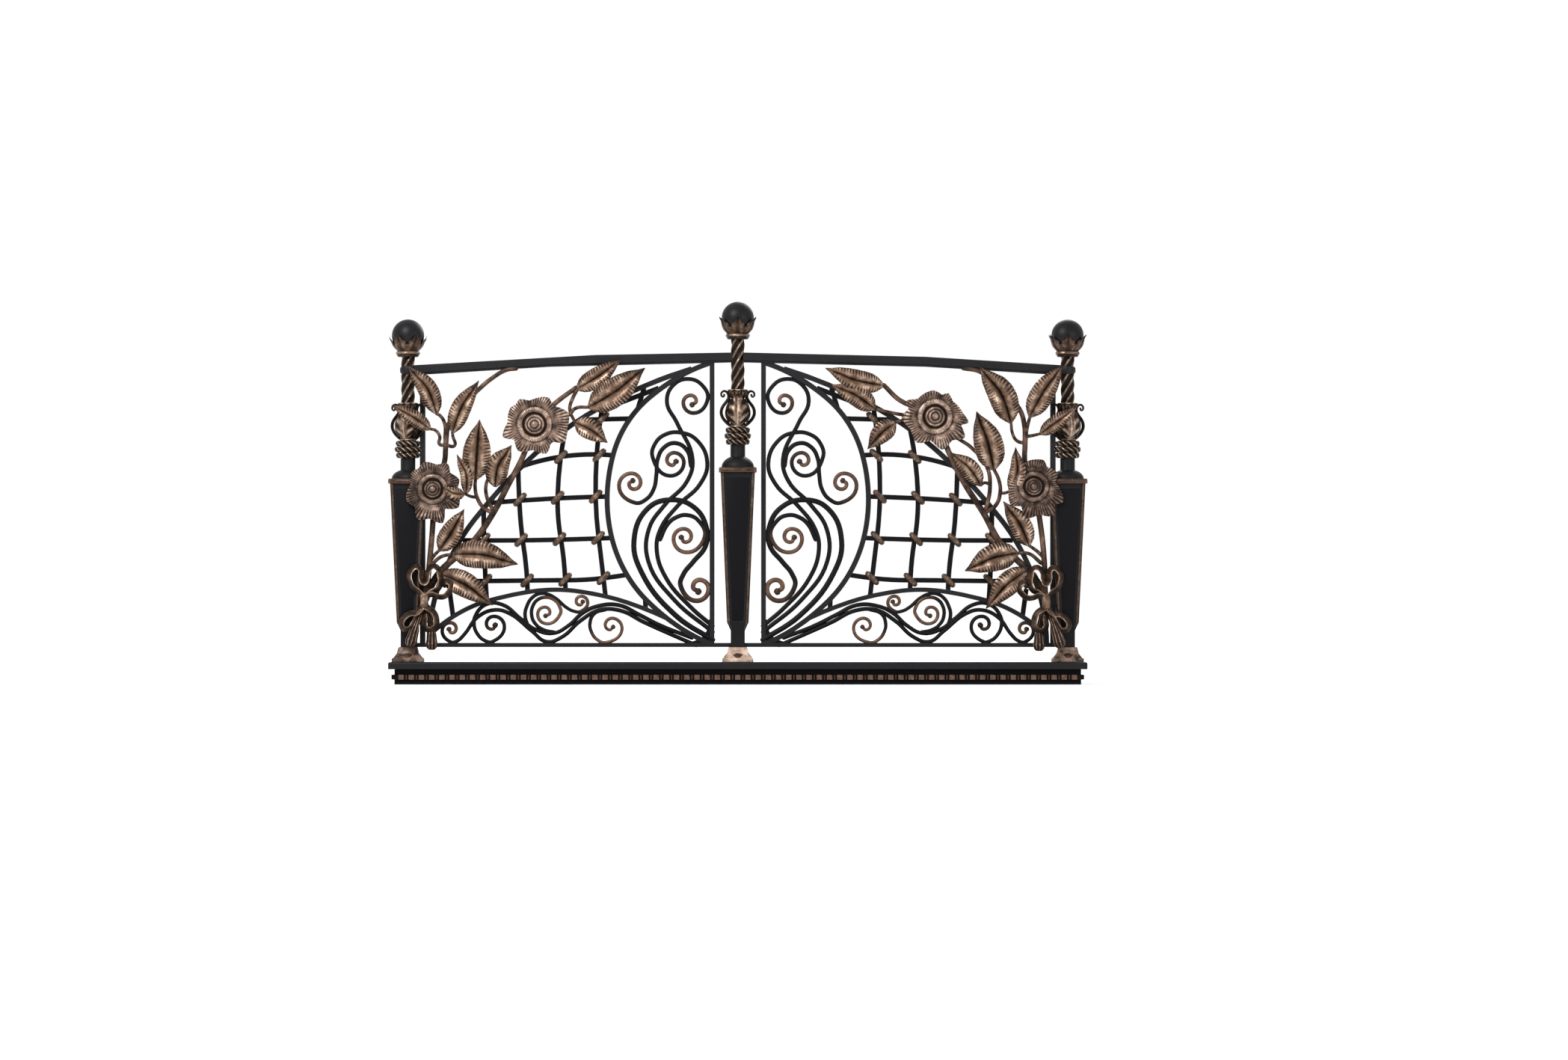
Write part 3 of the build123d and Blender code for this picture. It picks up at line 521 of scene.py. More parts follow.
# %% Places on the drawing of a panel
drawn_width = 950
drawn_height = 935
drawn_rail_top = 138.5
rail_height = 33 * MM
opening_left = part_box("centre_stiles")[1].x
opening_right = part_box("right_side_stile")[0].x
opening_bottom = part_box("bottom_rail")[1].z
opening_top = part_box("handrail")[1].z - rail_height
scale_across = (opening_right - opening_left) / drawn_width
scale_up = (opening_top - opening_bottom) / drawn_height
post_axis = {post: (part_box(f"{post}_post_ball")[0].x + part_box(f"{post}_post_ball")[1].x) / 2
             for post in POSTS}


def at(side, across, up, y=0.0):
    """A point of a panel, measured in drawing millimetres from the centre stile and the bottom rail."""
    return Vector((side * (opening_left + across * scale_across), y, opening_bottom + up * scale_up))


def from_post(side, inward, height, y=0.0):
    """A point of a spray, measured from the side post's axis and the ground."""
    x = post_axis["right"] - inward * scale_across
    return Vector((side * x, y, opening_bottom + (height - drawn_rail_top) * scale_up))


print("a drawing millimetre is", round(scale_across / MM, 3), "across,", round(scale_up / MM, 3), "up")

# %% Lines of the scrolls


def wound(stem, eye, turns, eye_radius):
    """A stem's points and the spiral on round its eye."""
    arm = Vector(stem[-1]) - Vector(eye)
    steps = round(4 * abs(turns))
    spiral = []
    for step in range(1, steps + 1):
        radius = arm.length * (eye_radius / arm.length) ** (step / steps)
        angle = atan2(arm.y, arm.x) + 2 * pi * turns * step / steps
        spiral.append((eye[0] + radius * cos(angle), eye[1] + radius * sin(angle)))
    return (*stem, *spiral)


# Each scroll: its bar, its stem's points, eye, turns, last radius, and the share where bronze starts
hub_scrolls = (
    (16, ((-10, 10), (113, 91), (227, 234), (253, 340), (207, 448), (132, 477), (52, 452), (11, 385),
          (13, 325), (56, 269), (87, 230), (97, 190)), (37, 185), -1.25, 14, 0.62),
    (13, ((-10, 36), (120, 145), (205, 272), (203, 380), (151, 459), (75, 540), (57, 610), (110, 735),
          (143, 805), (120, 861), (70, 880), (25, 859), (7, 811)), (60, 805), 1.25, 11, 0.7),
    (13, ((-10, 56), (63, 119), (145, 215), (177, 310), (165, 378), (107, 457), (31, 531), (8, 600),
          (44, 677), (96, 701), (148, 695), (182, 665), (191, 620)), (123, 607), -1.5, 11, 0.72),
    (13, ((62, 590), (75, 641), (113, 666), (151, 653), (174, 612), (178, 562), (187, 513), (212, 479),
          (249, 467)), (256, 531), 1.5, 10, 0.5),
    (13, ((166, 345), (141, 395), (113, 418), (75, 426), (38, 408), (17, 352)), (83, 352), 1.5, 12, 0.35),
)
band_scrolls = (
    (12.5, ((45, -8), (140, 33), (218, 68), (300, 108), (370, 109), (430, 75), (496, 18), (545, 4),
          (594, 39), (667, 97), (717, 110), (774, 87), (821, 27), (843, 7), (865, 3)),
     (863, 45), 1.25, 8, 0.72),
    (12.5, ((60, 17), (171, 61), (234, 93), (305, 126), (376, 122), (424, 100), (471, 58), (524, 32),
          (585, 46), (632, 81), (692, 127), (745, 129), (783, 90), (787, 58), (774, 27), (752, 8),
          (727, 4)), (726, 60), -1.25, 10, 0.85),
    (11, ((345, 112), (386, 97), (400, 66), (395, 36), (376, 11), (348, 1)), (331, 56), -1.25, 9, 0.2),
    (11, ((604, 48), (617, 93), (611, 122), (594, 150), (569, 164), (544, 163), (515, 149), (480, 119),
          (455, 106), (431, 105)), (432, 137), -1.25, 8, 0.55),
    (11, ((520, 36), (553, 43), (582, 63), (595, 93), (590, 125), (573, 145), (547, 152), (520, 144),
          (502, 122), (499, 97)), (548, 100), 1.25, 10, 0.3),
)

print("scrolls on each side:", len(hub_scrolls) + len(band_scrolls))

# %% Scroll bars, drawn thin towards a knob
scroll_depth = 7 * MM
scroll_half = 0.6
knob_from = 0.985
knob_size = 1.5


def scroll_bar(side, bar, stem, eye, turns, eye_radius, bronze_from):
    line = smooth_line([at(side, *point) for point in wound(stem, eye, turns, eye_radius)], 7)
    half = bar * scroll_half * MM

    def width(share):
        knob = knob_size if share > knob_from else 1
        return half * (1 - 0.15 * share) * knob

    def rub(share):
        return min(0.55, max(0, (share - bronze_from) * 3)) - (0.2 if share > 0.97 else 0)

    return forged_bar(line, width, lambda share: max(width(share), scroll_depth * (1 - 0.3 * share)),
                      rub=rub)


for side_name, side in SIDES.items():
    for set_name, scrolls in (("hub_scrolls", hub_scrolls), ("band_scrolls", band_scrolls)):
        bars = gathered([scroll_bar(side, *scroll) for scroll in scrolls])
        node = f"{side_name}_{set_name}"
        show(bars, f"{node}_drawn", "scroll_paint", scroll_paint, node)

# %% [markdown]
# A small flat plate fills the corner where the scrolls meet each centre stile. It could be a cube cut
# to shape. One outline, extruded to its thickness, gives the two long points in fewer steps.

# %% Corner plates where the scrolls meet the centre stiles
plate_outline = ((0, 0), (62, 0), (62, 4), (36, 12), (18, 26), (7, 48), (3, 78), (0, 78))
plate_half = 5 * MM
plates = new_piece()[0]
for side in SIDES.values():
    corners = [plates.verts.new(at(side, across, up, -plate_half)) for across, up in plate_outline]
    face = plates.faces.new(corners)
    grown = bmesh.ops.extrude_face_region(plates, geom=[face])["geom"]
    bmesh.ops.translate(plates, vec=(0, 2 * plate_half, 0),
                        verts=[item for item in grown if isinstance(item, bmesh.types.BMVert)])
show(plates, "corner_plates", "frame_paint", net_paint)

# %% [markdown]
# ## Collars on the net
# Where two net bars cross, a short thick collar is bent round them, slanting, and rubbed with bronze.
# A bar swept along a closed loop does the same: it passes in front of the crossing and back behind it.

# %% Slanting collars at the crossings
net_crossings = (
    (358, 748), (497, 620), (369, 625), (634, 478), (508, 484), (381, 488), (755, 344),
    (630, 343), (502, 346), (373, 350), (749, 207), (610, 208), (483, 211), (355, 216),
)
collar_reach = 19.5 * MM
collar_radius = 9.5 * MM
collar_slant = radians(46)
collar_stand = 9.5 * MM
for side_name, side in SIDES.items():
    collars = []
    for across, up in net_crossings:
        centre = at(side, across, up)
        along = Vector((-side * cos(collar_slant), 0, sin(collar_slant))) * collar_reach
        out = FRONT * collar_stand
        loop = [centre - along * 0.8 + out, centre + out * 1.15, centre + along * 0.8 + out,
                centre + along * 1.05, centre + along * 0.8 - out, centre - out * 1.15,
                centre - along * 0.8 - out, centre - along * 1.05]
        line = smooth_line(loop, 4, closed=True)
        flat = Vector((sin(collar_slant), 0, side * cos(collar_slant)))
        collars.append(forged_bar(line, collar_radius, facing=flat, sides=12, closed=True, rub=0.5))
    show(gathered(collars), f"{side_name}_collars", "rope_bronze", casting_bronze,
         f"{side_name}_net_wraps")

# %% [markdown]
# ## Stems and twigs
# The sprays grow on round hammered bars that stand just in front of the arches. They are swept like the
# scrolls, thick at the bow and thin at the leaf.

# %% Lines of the stems and twigs
stem_y = -18 * MM
# Each bar: half size at its start and its end, then its points inward and up from the post's axis,
# with a place along y for those that leave the plane of the stems
stem_lines = {
    "left": (
        (13, 8, ((57, 279), (74, 320), (107, 374), (216, 473), (281, 564), (339, 672), (385, 760),
                 (424, 867), (489, 934), (562, 989))),
        (10, 9, ((57, 279), (66, 340), (72, 399), (84, 540), (88, 654), (122, 739), (127, 800),
                 (130, 840))),
        (9, 7, ((127, 800), (130, 840), (144, 881), (190, 937), (239, 985), (281, 1020), (330, 1048),
                (362, 1052))),
        (7, 5.5, ((125, 820), (124, 867), (109, 895), (97, 902))),
        (6.5, 5, ((127, 798), (106, 801), (107, 826), (92, 847), (77, 851))),
        (6.5, 5, ((127, 798), (156, 796), (151, 826), (149, 839))),
        (7, 5.5, ((573, 995), (550, 952), (541, 917), (558, 874))),
        (7, 5.5, ((541, 900), (560, 920), (603, 924))),
        (7.5, 6, ((282, 572), (252, 590), (232, 622), (225, 655), (226, 684))),
        (7, 5.5, ((285, 580), (264, 625), (262, 668), (276, 700))),
        (6, 5, ((229, 624), (212, 626, -40), (194, 634, -66))),
        (7, 5.5, ((74, 410), (88, 430), (105, 447))),
        (7, 5.5, ((74, 392), (110, 425), (148, 434))),
        (7.5, 6, ((80, 340), (96, 362), (112, 368))),
    ),
    "right": (
        (13, 8, ((74, 275), (92, 325), (136, 382), (222, 467), (282, 572), (345, 670), (400, 780),
                 (444, 894), (561, 947), (614, 997))),
        (10, 9, ((74, 275), (77, 340), (79, 414), (96, 562), (116, 664), (142, 732), (143, 800),
                 (141, 839))),
        (9, 7, ((143, 790), (146, 870), (163, 920), (230, 990), (294, 1042), (349, 1053))),
        (7, 5.5, ((142, 820), (135, 860), (125, 897))),
        (6.5, 5, ((141, 826), (115, 830), (94, 835))),
        (6.5, 5, ((145, 804), (170, 812), (184, 834), (190, 875))),
        (7, 5.5, ((450, 890), (560, 900), (644, 918))),
        (7, 5.5, ((450, 885), (530, 885), (577, 873))),
        (7.5, 6, ((276, 572), (240, 598), (226, 640), (230, 680), (247, 718))),
        (7.5, 6, ((276, 574), (260, 655), (270, 725), (323, 790), (367, 820), (420, 860))),
        (6, 5, ((262, 668), (278, 672), (291, 664))),
        (6, 5, ((225, 638), (210, 638, -34), (194, 644, -48))),
        (7, 5.5, ((82, 425), (104, 445), (129, 463))),
        (7, 5.5, ((90, 405), (130, 436), (166, 438))),
        (7.5, 6, ((100, 345), (116, 372), (136, 382))),
    ),
}
print("stems and twigs:", {side_name: len(bars) for side_name, bars in stem_lines.items()})

# %% Stems and twigs of both sprays
for side_name, side in SIDES.items():
    stems = []
    for start_half, end_half, points in stem_lines[side_name]:
        line = smooth_line([from_post(side, inward, height, y[0] * MM if y else stem_y)
                            for inward, height, *y in points], 7)
        stems.append(forged_bar(line, lambda share: (start_half + (end_half - start_half) * share) * MM,
                                rub=lambda share: 0.34 + 0.12 * sin(23 * share)))
    show(gathered(stems), f"{side_name}_stems", "stem_bronze", stem_bronze, f"{side_name}_branches")

# %% [markdown]
# ## Leaves
# A forged leaf is cut from sheet, folded along its midrib and chased with a chisel, so short cuts run in
# its edges like a comb. A grid is laid along the leaf's spine row by row: its width follows an outline
# with a long point, and the cuts, the fold and the rounded halves are all offsets of the same grid.

# %% One leaf on a spine
leaf_across = 16
leaf_outline = ((0, 0.1), (0.05, 0.36), (0.13, 0.68), (0.24, 0.92), (0.36, 1), (0.5, 0.97), (0.62, 0.83),
                (0.73, 0.6), (0.82, 0.37), (0.89, 0.21), (0.95, 0.11), (1, 0.02))


def read_off(table, share):
    """The value at a share, between the rows of a table."""
    for (start, low), (end, high) in zip(table, table[1:]):
        if share <= end:
            return low + (high - low) * (share - start) / (end - start)
    return table[-1][1]


def leaf(spine, facing, half_width, fold=0.22, pillow=0.3, cuts=18, cut_depth=1.3 * MM, cut_from=0.45,
         wrap=0.0, thickness=2.2 * MM, midrib=-0.5, shade=0.0):
    """A leaf along a spine. facing is the way its open side looks; cuts are counted along one side."""
    bm, rubbing = new_piece()
    last = len(spine) - 1
    bmesh.ops.create_grid(bm, x_segments=leaf_across, y_segments=last, size=1)
    ways = headings(spine)
    for corner in bm.verts:
        share = (corner.co.y + 1) / 2
        edge = abs(corner.co.x) ** 1.4
        row = min(last, round(share * last))
        out = (facing - ways[row] * facing.dot(ways[row])).normalized()
        beside = ways[row].cross(out)
        half = half_width * read_off(leaf_outline, share)
        groove = (0.5 + 0.5 * cos(2 * pi * (cuts * share - 0.8 * edge))) ** 2
        groove *= min(1, max(0, (edge - cut_from) / 0.3)) * min(1, half / half_width * 1.6)
        rounding = half * pillow * sin(pi * min(1, edge * 0.95)) ** 0.8
        lift = rounding + half * fold * edge - groove * cut_depth - wrap * (half * edge) ** 2
        half *= 1 - 0.03 * groove
        sign = 1 if corner.co.x > 0 else -1
        corner.co = spine[row] + beside * half * edge * sign + out * lift
        vein = max(0, 1 - edge * 10)
        # crown is a painted highlight: it lightens the middle of each rounded half, where light falls on
        # it
        crown = sin(pi * min(1, edge * 1.1))
        corner[rubbing] = (0.36 + shade + 0.2 * edge + 0.14 * crown - 0.9 * groove + midrib * vein
                           - 0.4 * share**4)
    bmesh.ops.solidify(bm, geom=bm.faces[:], thickness=thickness)
    return bm


print("a leaf is", leaf_across, "faces across")

# %% Places of the leaves
# Each leaf: base inward and up, tip inward and up, width, tip's stand in front, how it sways, and
# for a leaf held out in front, how far its base stands
leaf_places = {
    "left": (
        (563, 985, 712, 1082, 66, 20, 0.03), (603, 924, 792, 1054, 98, 24, 0.04),
        (558, 874, 667, 807, 68, 16, -0.05), (97, 902, 2, 1062, 68, 34, 0.09),
        (77, 851, -48, 929, 50, 85, 0.02), (149, 839, 238, 1012, 68, 20, -0.05),
        (226, 684, 241, 882, 96, 24, 0.0), (292, 660, 347, 797, 78, 22, -0.1),
        (196, 634, 166, 766, 42, 44, 0.12, 40), (192, 634, 122, 656, 40, 74, -0.1, 54),
        (105, 447, 189, 584, 72, 20, 0.03), (148, 434, 368, 402, 92, 24, -0.06),
        (110, 368, 284, 266, 84, 20, -0.06),
    ),
    "right": (
        (614, 997, 809, 1054, 72, 20, -0.05), (644, 918, 789, 999, 72, 24, 0.05),
        (575, 873, 669, 786, 68, 16, 0.05), (190, 873, 296, 1059, 94, 20, 0.08),
        (128, 892, 18, 1066, 80, 34, -0.03), (94, 835, -26, 922, 50, 85, 0.0),
        (247, 716, 306, 909, 100, 24, 0.03), (291, 664, 392, 773, 62, 20, 0.07),
        (194, 642, 177, 790, 56, 54, 0.1, 30), (129, 463, 216, 610, 74, 20, 0.05),
        (166, 438, 344, 380, 92, 24, 0.06), (134, 382, 274, 255, 80, 20, 0.06),
    ),
}
print("leaves:", {side_name: len(rows) for side_name, rows in leaf_places.items()})

# %% Leaves of both sprays
leaf_bow = 0.1
cut_pitch = 9 * MM
for side_name, side in SIDES.items():
    leaves = []
    for base_in, base_up, tip_in, tip_up, width, stand, sway, *held in leaf_places[side_name]:
        base = from_post(side, base_in, base_up, stem_y - sum(held) * MM)
        tip = from_post(side, tip_in, tip_up, stem_y - stand * MM)
        along = tip - base
        beside = along.cross(FRONT).normalized() * along.length * sway
        rise = FRONT * along.length * leaf_bow
        spine = smooth_line([base, base + along * 0.25 + rise * 0.7 + beside * 0.7,
                             base + along * 0.5 + rise + beside, base + along * 0.78 + rise * 0.6
                             + beside * 0.4, tip], 20)
        leaves.append(leaf(spine, FRONT, width / 2 * MM, cuts=round(along.length / cut_pitch)))
    show(gathered(leaves), f"{side_name}_leaves_chased", "leaf_bronze", leaf_bronze,
         f"{side_name}_leaves", sharp=60)

# %% [markdown]
# ## Flowers
# Each flower is one dished sheet with six ruffled petals, a hammered ring and a stepped boss. Its profile
# is spun into a disc first, which gives even rings, and the petals are then pushed out of the disc.

# %% Profile and rim of a flower
flower_spin = 240
flower_size = 100
ring_edge = 60
# From the middle out: radius, then how far it stands in front, both for a flower of the full size
flower_profile = (
    (0, 30), (6, 29.5), (11, 26), (12, 22), (18, 21), (22, 18), (23, 13.5), (28, 13), (32, 10.5),
    (34, 5.5), (37, 4), (39, 5.5), (43, 10.5), (47, 13), (52, 13), (57, 10.5), (60, 5),
)
rim_rows = 12


def rim_at(corners, angle):
    """How far the petals reach at an angle in degrees, rounded from corner to corner."""
    first = corners[0][0]
    around = sorted(((corner - first) % 360, reach) for corner, reach in corners)
    around.append((360, corners[0][1]))
    turn = (angle - first) % 360
    for (start, low), (end, high) in zip(around, around[1:]):
        if turn <= end:
            share = (turn - start) / (end - start)
            return low + (high - low) * (0.6 * share + 0.2 - 0.2 * cos(pi * share))
    return corners[0][1]


print("a flower's profile has", len(flower_profile) + rim_rows, "points")

# %% One flower, spun and then ruffled
petal_range = 30
flute_count = 60
dotted_from, dotted_to = 41, 59
dark_grooves = ((11.4, 12.6), (22.4, 23.6), (33, 40), (59, 61))


def flower(size, corners, shade):
    """A flower that looks along -Y, centred on the origin."""
    bm, rubbing = new_piece()
    profile = [(radius, -front) for radius, front in flower_profile]
    profile += [(ring_edge + (flower_size - ring_edge) * step / rim_rows, -5 - 3 * step / rim_rows)
                for step in range(1, rim_rows + 1)]
    line = [bm.verts.new((radius * MM, y * MM, 0)) for radius, y in profile]
    edges = [bm.edges.new(pair) for pair in zip(line, line[1:])]
    bmesh.ops.spin(bm, geom=line + edges, cent=(0, 0, 0), axis=(0, 1, 0), angle=2 * pi,
                   steps=flower_spin, use_merge=True, use_duplicate=False)
    bmesh.ops.remove_doubles(bm, verts=bm.verts, dist=0.0001)
    for corner in bm.verts:
        radius = Vector((corner.co.x, corner.co.z)).length / MM
        angle = atan2(corner.co.z, corner.co.x)
        reach = max(0, (radius - ring_edge) / (flower_size - ring_edge))
        corner[rubbing] = 0.5
        if reach:
            rim = rim_at(corners, degrees(angle)) / size
            wanted = ring_edge + (rim - ring_edge) * reach
            corner.co.x *= wanted / radius
            corner.co.z *= wanted / radius
            groove = (0.5 + 0.5 * cos(flute_count * angle + 2 * sin(5 * angle) + 2 * reach)) ** 3
            groove *= min(1, max(0, (reach - 0.25) / 0.4))
            lobe = (rim - 85) / petal_range
            corner.co.y += MM * (-9 * sin(pi * reach) * lobe + 13 * lobe * reach**3 + 0.9 * groove)
            corner[rubbing] = 0.26 + 0.3 * reach - 0.7 * groove + 0.12 * lobe
        elif dotted_from < radius < dotted_to:
            corner[rubbing] = 0.5 + 0.35 * sin(flute_count * angle + radius) * sin(0.8 * radius)
        elif any(start < radius < end for start, end in dark_grooves):
            corner[rubbing] = -0.1
        corner[rubbing] += shade
    bmesh.ops.scale(bm, vec=(size, size, size), verts=bm.verts)
    bmesh.ops.solidify(bm, geom=bm.faces[:], thickness=-2.5 * MM)
    return bm


sample = flower(1, ((0, 100), (180, 90)), 0)
print("a flower has", len(sample.faces), "faces")
sample.free()

# %% Places of the flowers
# Each flower: inward, up and in front, its size, then the corners of its rim by angle and reach
flower_places = {
    "left": (
        (424, 866, 36, 1.0, ((17, 120), (-8, 110), (-30, 118), (-46, 80), (-68, 105), (-94, 86),
                             (-121, 104), (-143, 86), (-159, 114), (-185, 90), (-215, 98), (-226, 92),
                             (-239, 98), (-258, 80), (-298, 101), (-314, 88))),
        (86, 650, 66, 0.86, ((59, 98), (43, 80), (20, 94), (0, 82), (-35, 105), (-58, 78), (-74, 118),
                             (-97, 99), (-117, 114), (-136, 84), (-156, 96), (-193, 76), (-218, 90),
                             (-235, 84), (-252, 95), (-279, 83))),
    ),
    "right": (
        (444, 892, 36, 1.0, ((60, 90), (41, 76), (10, 92), (-10, 114), (-18, 92), (-35, 122), (-54, 98),
                             (-77, 113), (-100, 80), (-125, 106), (-152, 92), (-180, 112), (-196, 92),
                             (-208, 110), (-226, 82), (-266, 88), (-288, 74))),
        (116, 658, 66, 0.86, ((70, 95), (56, 80), (29, 92), (12, 72), (-27, 110), (-41, 92), (-55, 118),
                              (-79, 95), (-103, 108), (-123, 78), (-142, 98), (-170, 86), (-213, 80),
                              (-240, 82), (-265, 90))),
    ),
}
print("flowers:", {side_name: len(rows) for side_name, rows in flower_places.items()})

# %% Flowers of both sprays
stalk_radius = 8 * MM
small_shade = -0.16
for side_name, side in SIDES.items():
    flowers = []
    for inward, height, stand, size, corners in flower_places[side_name]:
        centre = from_post(side, inward, height, -stand * MM)
        shade = 0 if size == 1 else small_shade
        flowers.append(moved(flower(size, corners, shade), Matrix.Translation(centre)))
        stalk_end = Vector((centre.x, stem_y, centre.z))
        stalk = smooth_line([stalk_end, (stalk_end + centre) / 2, centre + FRONT * 3 * MM], 3)
        flowers.append(forged_bar(stalk, stalk_radius, facing=UP, rub=0.3))
    show(gathered(flowers), f"{side_name}_flowers_chased", "leaf_bronze", flower_bronze,
         f"{side_name}_flowers", sharp=60)

# %% [markdown]
# ## Ribbon bows
# A bow of flat iron ribbon ties the stems. A ribbon is a flat ring swept along the loop, leaning on
# the way so that its broad face turns to the front, and the knot is a short band across the stems.

# %% Lines of a bow
bow_places = {"left": (57, 279), "right": (74, 275)}
ribbon_half = 13 * MM
ribbon_thin = 1.7 * MM
bow_y = -60 * MM
knot_half = 17 * MM
knot_bulge = 10 * MM
# Each ribbon's lean, then its points inward from the knot and up
bow_ribbons = (
    (44, ((-4, 9), (-17, 29), (-37, 44), (-47, 64), (-50, 86), (-42, 104), (-27, 114), (-15, 109),
          (-10, 99), (-10, 76), (0, 60), (10, 76), (12, 96), (20, 109), (32, 115), (47, 106), (52, 89),
          (55, 66), (47, 41), (25, 29), (5, 9))),
    (-46, ((-7, -21), (-25, -39), (-47, -42), (-65, -54), (-76, -74), (-72, -89), (-60, -96), (-45, -91),
           (-35, -76), (-25, -59), (-15, -44), (-4, -34))),
    (48, ((-1, -17), (17, -26), (32, -39), (41, -66), (39, -84), (27, -95), (15, -97), (5, -91),
          (0, -79), (2, -61), (0, -44))),
    (-46, ((2, 11), (22, 21), (45, 14), (65, 14), (80, 26), (90, 41), (85, 61), (70, 64), (66, 55),
           (73, 50))),
)
# Each flared end: its points inward, up and in front of the knot
flared_ends = (
    ((0, 0, -42), (15, -54, -42), (24, -99, -44), (24, -125, -46), (24, -146, -46)),
    ((0, 0, -42), (-14, -44, -48), (-27, -80, -54), (-37, -112, -58), (-44, -136, -58)),
)
flare = ((0, 10), (0.5, 11), (0.62, 16), (0.7, 17), (0.95, 20), (0.975, 22), (1, 20))
print("a bow has", len(bow_ribbons), "ribbons and", len(flared_ends), "flared ends")

# %% Bows
for side_name, side in SIDES.items():
    inward, height = bow_places[side_name]
    knot = from_post(side, inward, height, bow_y)
    ribbons = []
    for lean, points in bow_ribbons:
        line = smooth_line([from_post(side, inward + out, height + up, bow_y) for out, up in points], 5)
        ribbon = forged_bar(line, ribbon_thin, ribbon_half, sides=12, lean=-side * radians(lean))
        rubbing = ribbon.verts.layers.float["rub"]
        # The edge that faces the front is made bright: partly bronze rubbed onto the edge, partly a
        # painted highlight
        for corner in ribbon.verts:
            front = (bow_y - corner.co.y) / ribbon_half
            corner[rubbing] = 0.18 + 0.75 * max(0, front * 1.3) ** 6
        ribbons.append(ribbon)
    for points in flared_ends:
        line = smooth_line([from_post(side, inward + out, height + up, y * MM) for out, up, y in points],
                           8)
        ribbons.append(forged_bar(line, lambda share: read_off(flare, share) * MM, sides=36, lobes=9,
                                  lobe_depth=0.16, rub=0.6))
    band = smooth_line([knot - UP * knot_half, knot + FRONT * knot_bulge, knot + UP * knot_half], 5)
    ribbons.append(forged_bar(band, 13 * MM, 8 * MM, rub=0.5))
    root = Vector((knot.x, stem_y, knot.z))
    ribbons.append(forged_bar([root, root.lerp(knot, 0.5), knot], 12 * MM, 15 * MM, facing=UP, rub=0.3))
    show(gathered(ribbons), f"{side_name}_bow_ribbons", "stem_bronze", leaf_bronze, f"{side_name}_bow")

# %% [markdown]
# ## Posts
# From the flange up each post is a stack of castings: three rope rings, a leaf vase with curled
# straps, a twisted column, and a cup of six leaves under the ball. Each is made about the post's own
# axis and set on the solid's place. A rope ring is a bar of three lobes bent into a circle, and it
# turns four times on its way round, which gives strands without modelling each one.

# %% Rope rings
rope_radius = 9.75 * MM
rope_ring_radii = (31.2 * MM, 35.7 * MM, 32.2 * MM)
ring_corners = 64
spin_steps = 48


def ring_line(radius, height):
    angles = [2 * pi * corner / ring_corners for corner in range(ring_corners)]
    return [Vector((radius * cos(angle), radius * sin(angle), height)) for angle in angles]


def spun(profile, rub=None):
    """A turned piece about Z, from (radius, height) pairs in millimetres."""
    bm, rubbing = new_piece()
    corners = [bm.verts.new((radius * MM, 0, height * MM)) for radius, height in profile]
    for number, corner in enumerate(corners):
        corner[rubbing] = rub[number] if rub else 0.4
    edges = [bm.edges.new(pair) for pair in zip(corners, corners[1:])]
    bmesh.ops.spin(bm, geom=corners + edges, cent=(0, 0, 0), axis=(0, 0, 1), angle=2 * pi,
                   steps=spin_steps, use_merge=True, use_duplicate=False)
    bmesh.ops.remove_doubles(bm, verts=bm.verts, dist=0.00001)
    return bm


def foot_of(node):
    """The middle of a solid's underside."""
    low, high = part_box(node)
    return Vector(((low.x + high.x) / 2, (low.y + high.y) / 2, low.z))


for post in POSTS:
    node = f"{post}_post_rope"
    stack = [spun(((0, 0), (22, 0), (24, 29), (22, 58.5), (0, 58.5)))]
    for turn, radius in enumerate(rope_ring_radii):
        line = ring_line(radius, rope_radius * (2 * turn + 1))
        stack.append(forged_bar(line, rope_radius, facing=UP, sides=24, lobes=3, lobe_depth=0.26,
                                turns=4, closed=True, rub=0.72))
    show(moved(gathered(stack), Matrix.Translation(foot_of(node))), f"{post}_rope_rings",
         "rope_bronze", rope_bronze, node)

# %% [markdown]
# The column is one ribbed bar, twisted hot. Five bars could be wound round each other, but a lobed ring
# that turns on its way up gives the same strands as one closed piece, and its pitch is one number. The
# rounded ends are pressed flat, so that the column fills its solid's height and no more.

# %% Twisted columns
column_radius = 23 * MM
column_steps = 60
twist_pitch = 210 * MM
for post in POSTS:
    node = f"{post}_post_column"
    low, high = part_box(node)
    height = high.z - low.z
    line = [foot_of(node) + UP * height * step / column_steps for step in range(column_steps + 1)]
    column = forged_bar(line, column_radius, sides=40, lobes=5, lobe_depth=0.26,
                        turns=height / twist_pitch, rub=0.64)
    for corner in column.verts:
        corner.co.z = min(high.z, max(low.z, corner.co.z))
    show(column, f"{post}_twisted_column", "rope_bronze", casting_bronze, node)

# %% [markdown]
# At the side posts the handrail's ends are forged thin and lapped round the column, front and back,
# which shows as a short black band across the twist.

# %% Lapped ends of the handrail
lap_half = 2.6 * MM
lap_height_half = 14.5
lap_narrowing = 4.5
rail_corners = [corner.co for corner in nodes["handrail"].data.vertices]
for side_name, side in SIDES.items():
    axis = post_axis[side_name]
    end_heights = [corner.z for corner in rail_corners if abs(corner.x - axis) < 30 * MM]
    lap_height = (min(end_heights) + max(end_heights)) / 2
    laps = []
    for face in (-1, 1):
        line = []
        for degree in range(10, 171, 10):
            inward, out = cos(radians(degree)), face * sin(radians(degree))
            reach = column_radius + lap_half * 0.6
            line.append(Vector((axis - side * inward * reach, out * reach, lap_height)))
        laps.append(forged_bar(line, lap_half, facing=UP, sides=16, depth=lambda share: MM * (
            lap_height_half - lap_narrowing * share**2)))
    show(gathered(laps), f"{side_name}_handrail_lap", "frame_paint", frame_paint)

# %% [markdown]
# The vase is a small bulb under a crown. Four broad leaves wrap it, one to the front, and two bowed
# straps stand off its sides and curl outwards at the top. Its leaves come from the helper that makes
# the sprays' leaves, on a spine that follows the bulb.

